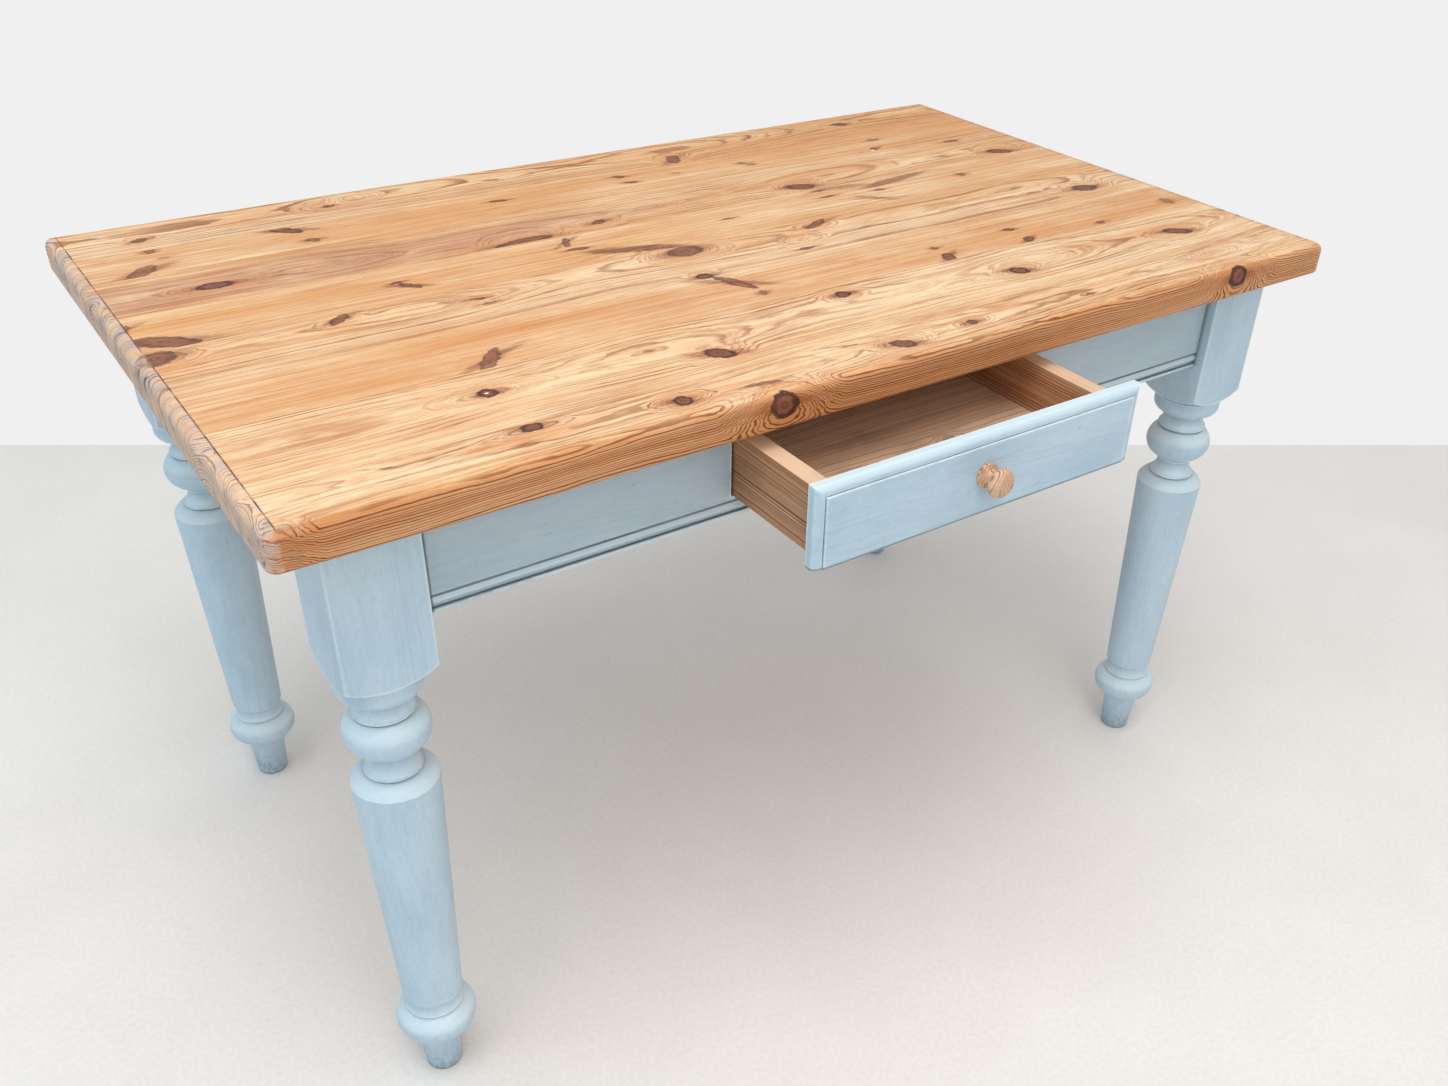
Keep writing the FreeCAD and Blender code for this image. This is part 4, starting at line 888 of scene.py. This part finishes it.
def bare(name, board, shade, strength, rim=None):
    """Unfinished wood, mixed towards one shade, which for some pieces is also painted light;
    rim is the height where hands rub it pale.
    """
    finish = Finish(name)
    wood = timber(finish, board)
    colour = finish.blend(strength, wood["colour"], shade)
    lines = wood["late"].fade(0.03, 0.5) * 0.9 * board["lines"] ** 2
    colour = finish.blend(lines, colour, AGED_LINE)
    grime = finish.noise(finish.stretch(wood["seeded"], (8, 14, 14)), 4.0, 0.6)
    colour = finish.blend(grime.fade(0.45, 0.75, 0.0, 0.45), colour, GRIME)
    if rim:
        up_facing = finish.facing()[2].fade(0.4, 0.9)
        level = finish.split(finish.node("ShaderNodeTexCoord", out="Object"))[2]
        rubbed = up_facing * level.fade(rim - 0.004, rim - 0.001) * grime.fade(0.7, 0.4, 0.5, 1.0)
        colour = finish.blend(rubbed * 0.9, colour, RUBBED)
    roughness = 0.68 + (wood["fibre"] - 0.5) * 0.2
    return finish.surface(colour, roughness, wood["height"], RELIEF_OF_BARE_WOOD)


PINE = dict(tone=0.6, lines=0.9, warm=0.4, ring=0.0024, heave=0.006, sway=0.01)
CARCASS = dict(PINE, axes="yxz", depth=0.03)
BOTTOM = dict(PINE, axes="xyz", face=0.658, lines=0.62, ring=0.0042, heave=0.02)
BROWNED = (tint(158, 110, 78), 0.58)
# painted light: the right side is paler, standing for the light that falls on its inner face
BROWNED_WITH_PAINTED_LIGHT = (tint(196, 142, 104), 0.58)
# paler pine for the drawer's bottom, also painted light for the light falling into the open drawer
PALE_WITH_PAINTED_LIGHT = (tint(250, 216, 186), 0.62)
AGED_AND_LIT = dict(
    drawer_side_right=BROWNED_WITH_PAINTED_LIGHT, drawer_bottom_1=PALE_WITH_PAINTED_LIGHT, drawer_bottom_2=PALE_WITH_PAINTED_LIGHT,
    drawer_bottom_3=PALE_WITH_PAINTED_LIGHT,
)
DRAWER_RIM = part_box("drawer_side_left")[1][2]
BARE = {
    "drawer_side_left": dict(PINE, axes="yzx", face=-0.1885, pith=0.560, depth=0.03, tree=31),
    "drawer_side_right": dict(PINE, axes="yzx", face=0.1795, pith=0.570, depth=0.03, tree=32),
    "drawer_back": dict(PINE, axes="xzy", face=-0.0275, pith=0.680, depth=0.03, tree=33),
    "drawer_bottom_1": dict(BOTTOM, pith=-0.40, depth=0.05, tree=34, knots=[
        (60, -372, 12, 9, 0, 0.8, 2.0, 30, 14), (-60, -430, 9, 6, 0, 0.7, 1.5, 24, 10)]),
    "drawer_bottom_2": dict(BOTTOM, pith=-0.22, depth=0.06, tree=35, knots=[
        (96, -236, 14, 10, 0, 0.8, 2.0, 34, 16)]),
    "drawer_bottom_3": dict(BOTTOM, pith=-0.12, depth=0.05, tree=36),
    "drawer_runner_left": dict(CARCASS, face=0.6715, pith=-0.15, tree=37),
    "drawer_runner_right": dict(CARCASS, face=0.6715, pith=0.16, tree=38),
    "drawer_kicker_left": dict(CARCASS, face=0.733, pith=-0.15, tree=39),
    "drawer_kicker_right": dict(CARCASS, face=0.733, pith=0.16, tree=40),
    "top_buttons": dict(CARCASS, axes="xyz", face=0.733, pith=0.05, tree=41),
}
for name, board in BARE.items():
    shade, strength = AGED_AND_LIT.get(name, BROWNED)
    rim = DRAWER_RIM if name.startswith("drawer_side") else None
    give(name, bare("bare_" + name, board, shade, strength, rim))
print("bare pieces:", len(BARE), "with the drawer's rim at", round(DRAWER_RIM, 4), "m")

# %% [markdown]
# ## The knob and the steel
# The knob was turned from one scrap with the grain along its axis, so its face cuts across
# the rings and shows them as arcs. Fingers keep it paler than the drawer. Screws and pins are
# plain steel, dulled by handling.

# %% Knob and steel
KNOB_SHADE, KNOB_STRENGTH = tint(214, 176, 156), 0.5
knob_wood = dict(
    PINE, axes="yxz", face=0.683, pith=0.012, depth=0.006, tree=43, ring=0.0021, lines=0.85
)
give("drawer_knob", bare("turned_knob", knob_wood, KNOB_SHADE, KNOB_STRENGTH))


def dull_steel(name):
    """Plain steel, mottled a little by handling."""
    finish = Finish(name)
    place = finish.node("ShaderNodeTexCoord", out="Object")
    stain = finish.noise(finish.stretch(place, (300, 300, 300)), 3.0)
    colour = finish.ramp(stain, [(0.3, tint(96, 90, 84)), (0.7, tint(170, 166, 160))])
    return finish.surface(colour, stain.fade(0.2, 0.8, 0.3, 0.6), stain, 0.0001, Metallic=1.0)


STEEL_PIECES = ("button_screws", "kicker_screws", "drawer_pins")
steel = dull_steel("dull_steel")
for name in STEEL_PIECES:
    give(name, steel)
finished = len(PLANKS) + len(PAINTED) + len(BARE) + 1 + len(STEEL_PIECES)
print("finished", finished, "of", len(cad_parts), "pieces")

# %% [markdown]
# ## The floor
# A smooth pale floor of sealed cement ends in a straight line, where the plain background
# starts. The line is placed from the camera: two points at its ends are followed along their
# rays down to the floor, and one long edge through them is drawn out towards the viewer.

# %% Floor
FLOOR_END_ROW = 445
FLOOR_REACH, FLOOR_DEPTH = 9.0, 12.0


def floor_point(pixel_x, pixel_y):
    """Where the camera sees the floor at a pixel of the image."""
    across = (pixel_x - CENTRE_PIXEL[0]) / FOCAL_PIXELS
    down = (pixel_y - CENTRE_PIXEL[1]) / FOCAL_PIXELS
    ray = forward + across * right - down * up
    return STANDPOINT - ray * (STANDPOINT.z / ray.z)


far_left = floor_point(0, FLOOR_END_ROW)
far_right = floor_point(IMAGE_WIDTH, FLOOR_END_ROW)
way = (far_right - far_left).normalized()
towards_viewer = Vector((way.y, -way.x, 0))
shape = bmesh.new()
ends = [shape.verts.new(p) for p in (far_left - way * FLOOR_REACH, far_right + way * FLOOR_REACH)]
far_edge = shape.edges.new(ends)
drawn = bmesh.ops.extrude_edge_only(shape, edges=[far_edge])["geom"]
near_ends = [part for part in drawn if isinstance(part, bmesh.types.BMVert)]
bmesh.ops.translate(shape, verts=near_ends, vec=towards_viewer * FLOOR_DEPTH)
bmesh.ops.recalc_face_normals(shape, faces=shape.faces)
floor_mesh = bpy.data.meshes.new("floor")
shape.to_mesh(floor_mesh)
shape.free()
floor = bpy.data.objects.new("floor", floor_mesh)
bpy.context.scene.collection.objects.link(floor)

finish = Finish("floor_cement")
place = finish.node("ShaderNodeTexCoord", out="Object")
mottle = finish.noise(finish.stretch(place, (3, 3, 3)), 5.0, 0.6)
grit = finish.noise(finish.stretch(place, (160, 160, 160)), 3.0, 0.6)
cement = finish.blend(mottle.fade(0.3, 0.7), tint(239, 232, 227), tint(244, 237, 232))
cement = finish.blend(grit.fade(0.35, 0.75, 0.0, 0.11), cement, tint(176, 166, 158))
floor_mesh.materials.append(
    finish.surface(cement, 0.55 + (mottle - 0.5) * 0.2, grit, 0.0003)
)
print("the floor ends", round((far_left - STANDPOINT).length, 2), "m from the camera")

# %% [markdown]
# ## Light
# Two large warm lamps, one overhead and one in front, give soft shadows. A weaker, bluish one
# on the left is the daylight from a window, and it sets the legs' left faces off from their
# fronts. The sky all round fills the shadows: it is cool on the left and warm on the right,
# and the camera sees a plain pale background instead of it.

# %% Lights
LAMPS = [
    ("ceiling", (-0.8, -0.9, 3.5), 2.4, 64, (1.0, 0.975, 0.935)),
    ("front", (-0.8, -4.2, 2.8), 3.0, 36, (1.0, 0.97, 0.93)),
    ("window", (-4.2, 0.4, 2.2), 2.6, 14, (0.44, 0.78, 1.0)),
]
LAMPS_AIM = Vector((0, 0, 0.5))


def soft_lamp(name, at, size, watts, colour):
    """A square lamp that faces the middle of the table."""
    lamp = bpy.data.lights.new(name, "AREA")
    lamp.shape, lamp.size, lamp.energy, lamp.color = "SQUARE", size, watts, colour
    holder = bpy.data.objects.new(name, lamp)
    turn = (LAMPS_AIM - Vector(at)).to_track_quat("-Z", "Y").to_matrix().to_4x4()
    holder.matrix_world = Matrix.Translation(at) @ turn
    bpy.context.scene.collection.objects.link(holder)


for lamp_row in LAMPS:
    soft_lamp(*lamp_row)
print("lamps:", [lamp_row[0] for lamp_row in LAMPS])

# %% [markdown]
# The world has two backgrounds. The Light Path node tells whether a ray comes straight from
# the camera: such a ray gets the plain wall, and every other ray gets the sky, which blends
# from left to right by the direction it is seen in.

# %% Sky and background
SKY_STRENGTH = 0.68
COOL_SKY, WARM_SKY = (0.68, 0.87, 1.0, 1.0), (1.0, 0.97, 0.93, 1.0)
BACKGROUND = tint(240, 240, 240)
world = bpy.data.worlds.new("studio")
bpy.context.scene.world = world
world.use_nodes = True
world.node_tree.nodes.clear()
nodes, links = world.node_tree.nodes, world.node_tree.links
light_path = nodes.new("ShaderNodeLightPath")
sky, wall = nodes.new("ShaderNodeBackground"), nodes.new("ShaderNodeBackground")
sky.inputs["Strength"].default_value = SKY_STRENGTH
direction, axes = nodes.new("ShaderNodeTexCoord"), nodes.new("ShaderNodeSeparateXYZ")
side, shade = nodes.new("ShaderNodeMapRange"), nodes.new("ShaderNodeMix")
shade.data_type = "RGBA"
side.inputs["From Min"].default_value = -1.0
shade.inputs[6].default_value, shade.inputs[7].default_value = COOL_SKY, WARM_SKY
links.new(direction.outputs["Generated"], axes.inputs[0])
links.new(axes.outputs["X"], side.inputs["Value"])
links.new(side.outputs["Result"], shade.inputs[0])
links.new(shade.outputs[2], sky.inputs["Color"])
wall.inputs["Color"].default_value, wall.inputs["Strength"].default_value = BACKGROUND, 1.0
seen = nodes.new("ShaderNodeMixShader")
links.new(light_path.outputs["Is Camera Ray"], seen.inputs[0])
links.new(sky.outputs[0], seen.inputs[1])
links.new(wall.outputs[0], seen.inputs[2])
links.new(seen.outputs[0], nodes.new("ShaderNodeOutputWorld").inputs["Surface"])
print("sky", SKY_STRENGTH)

# %% [markdown]
# The finished model must stay inside the joinery's own box.
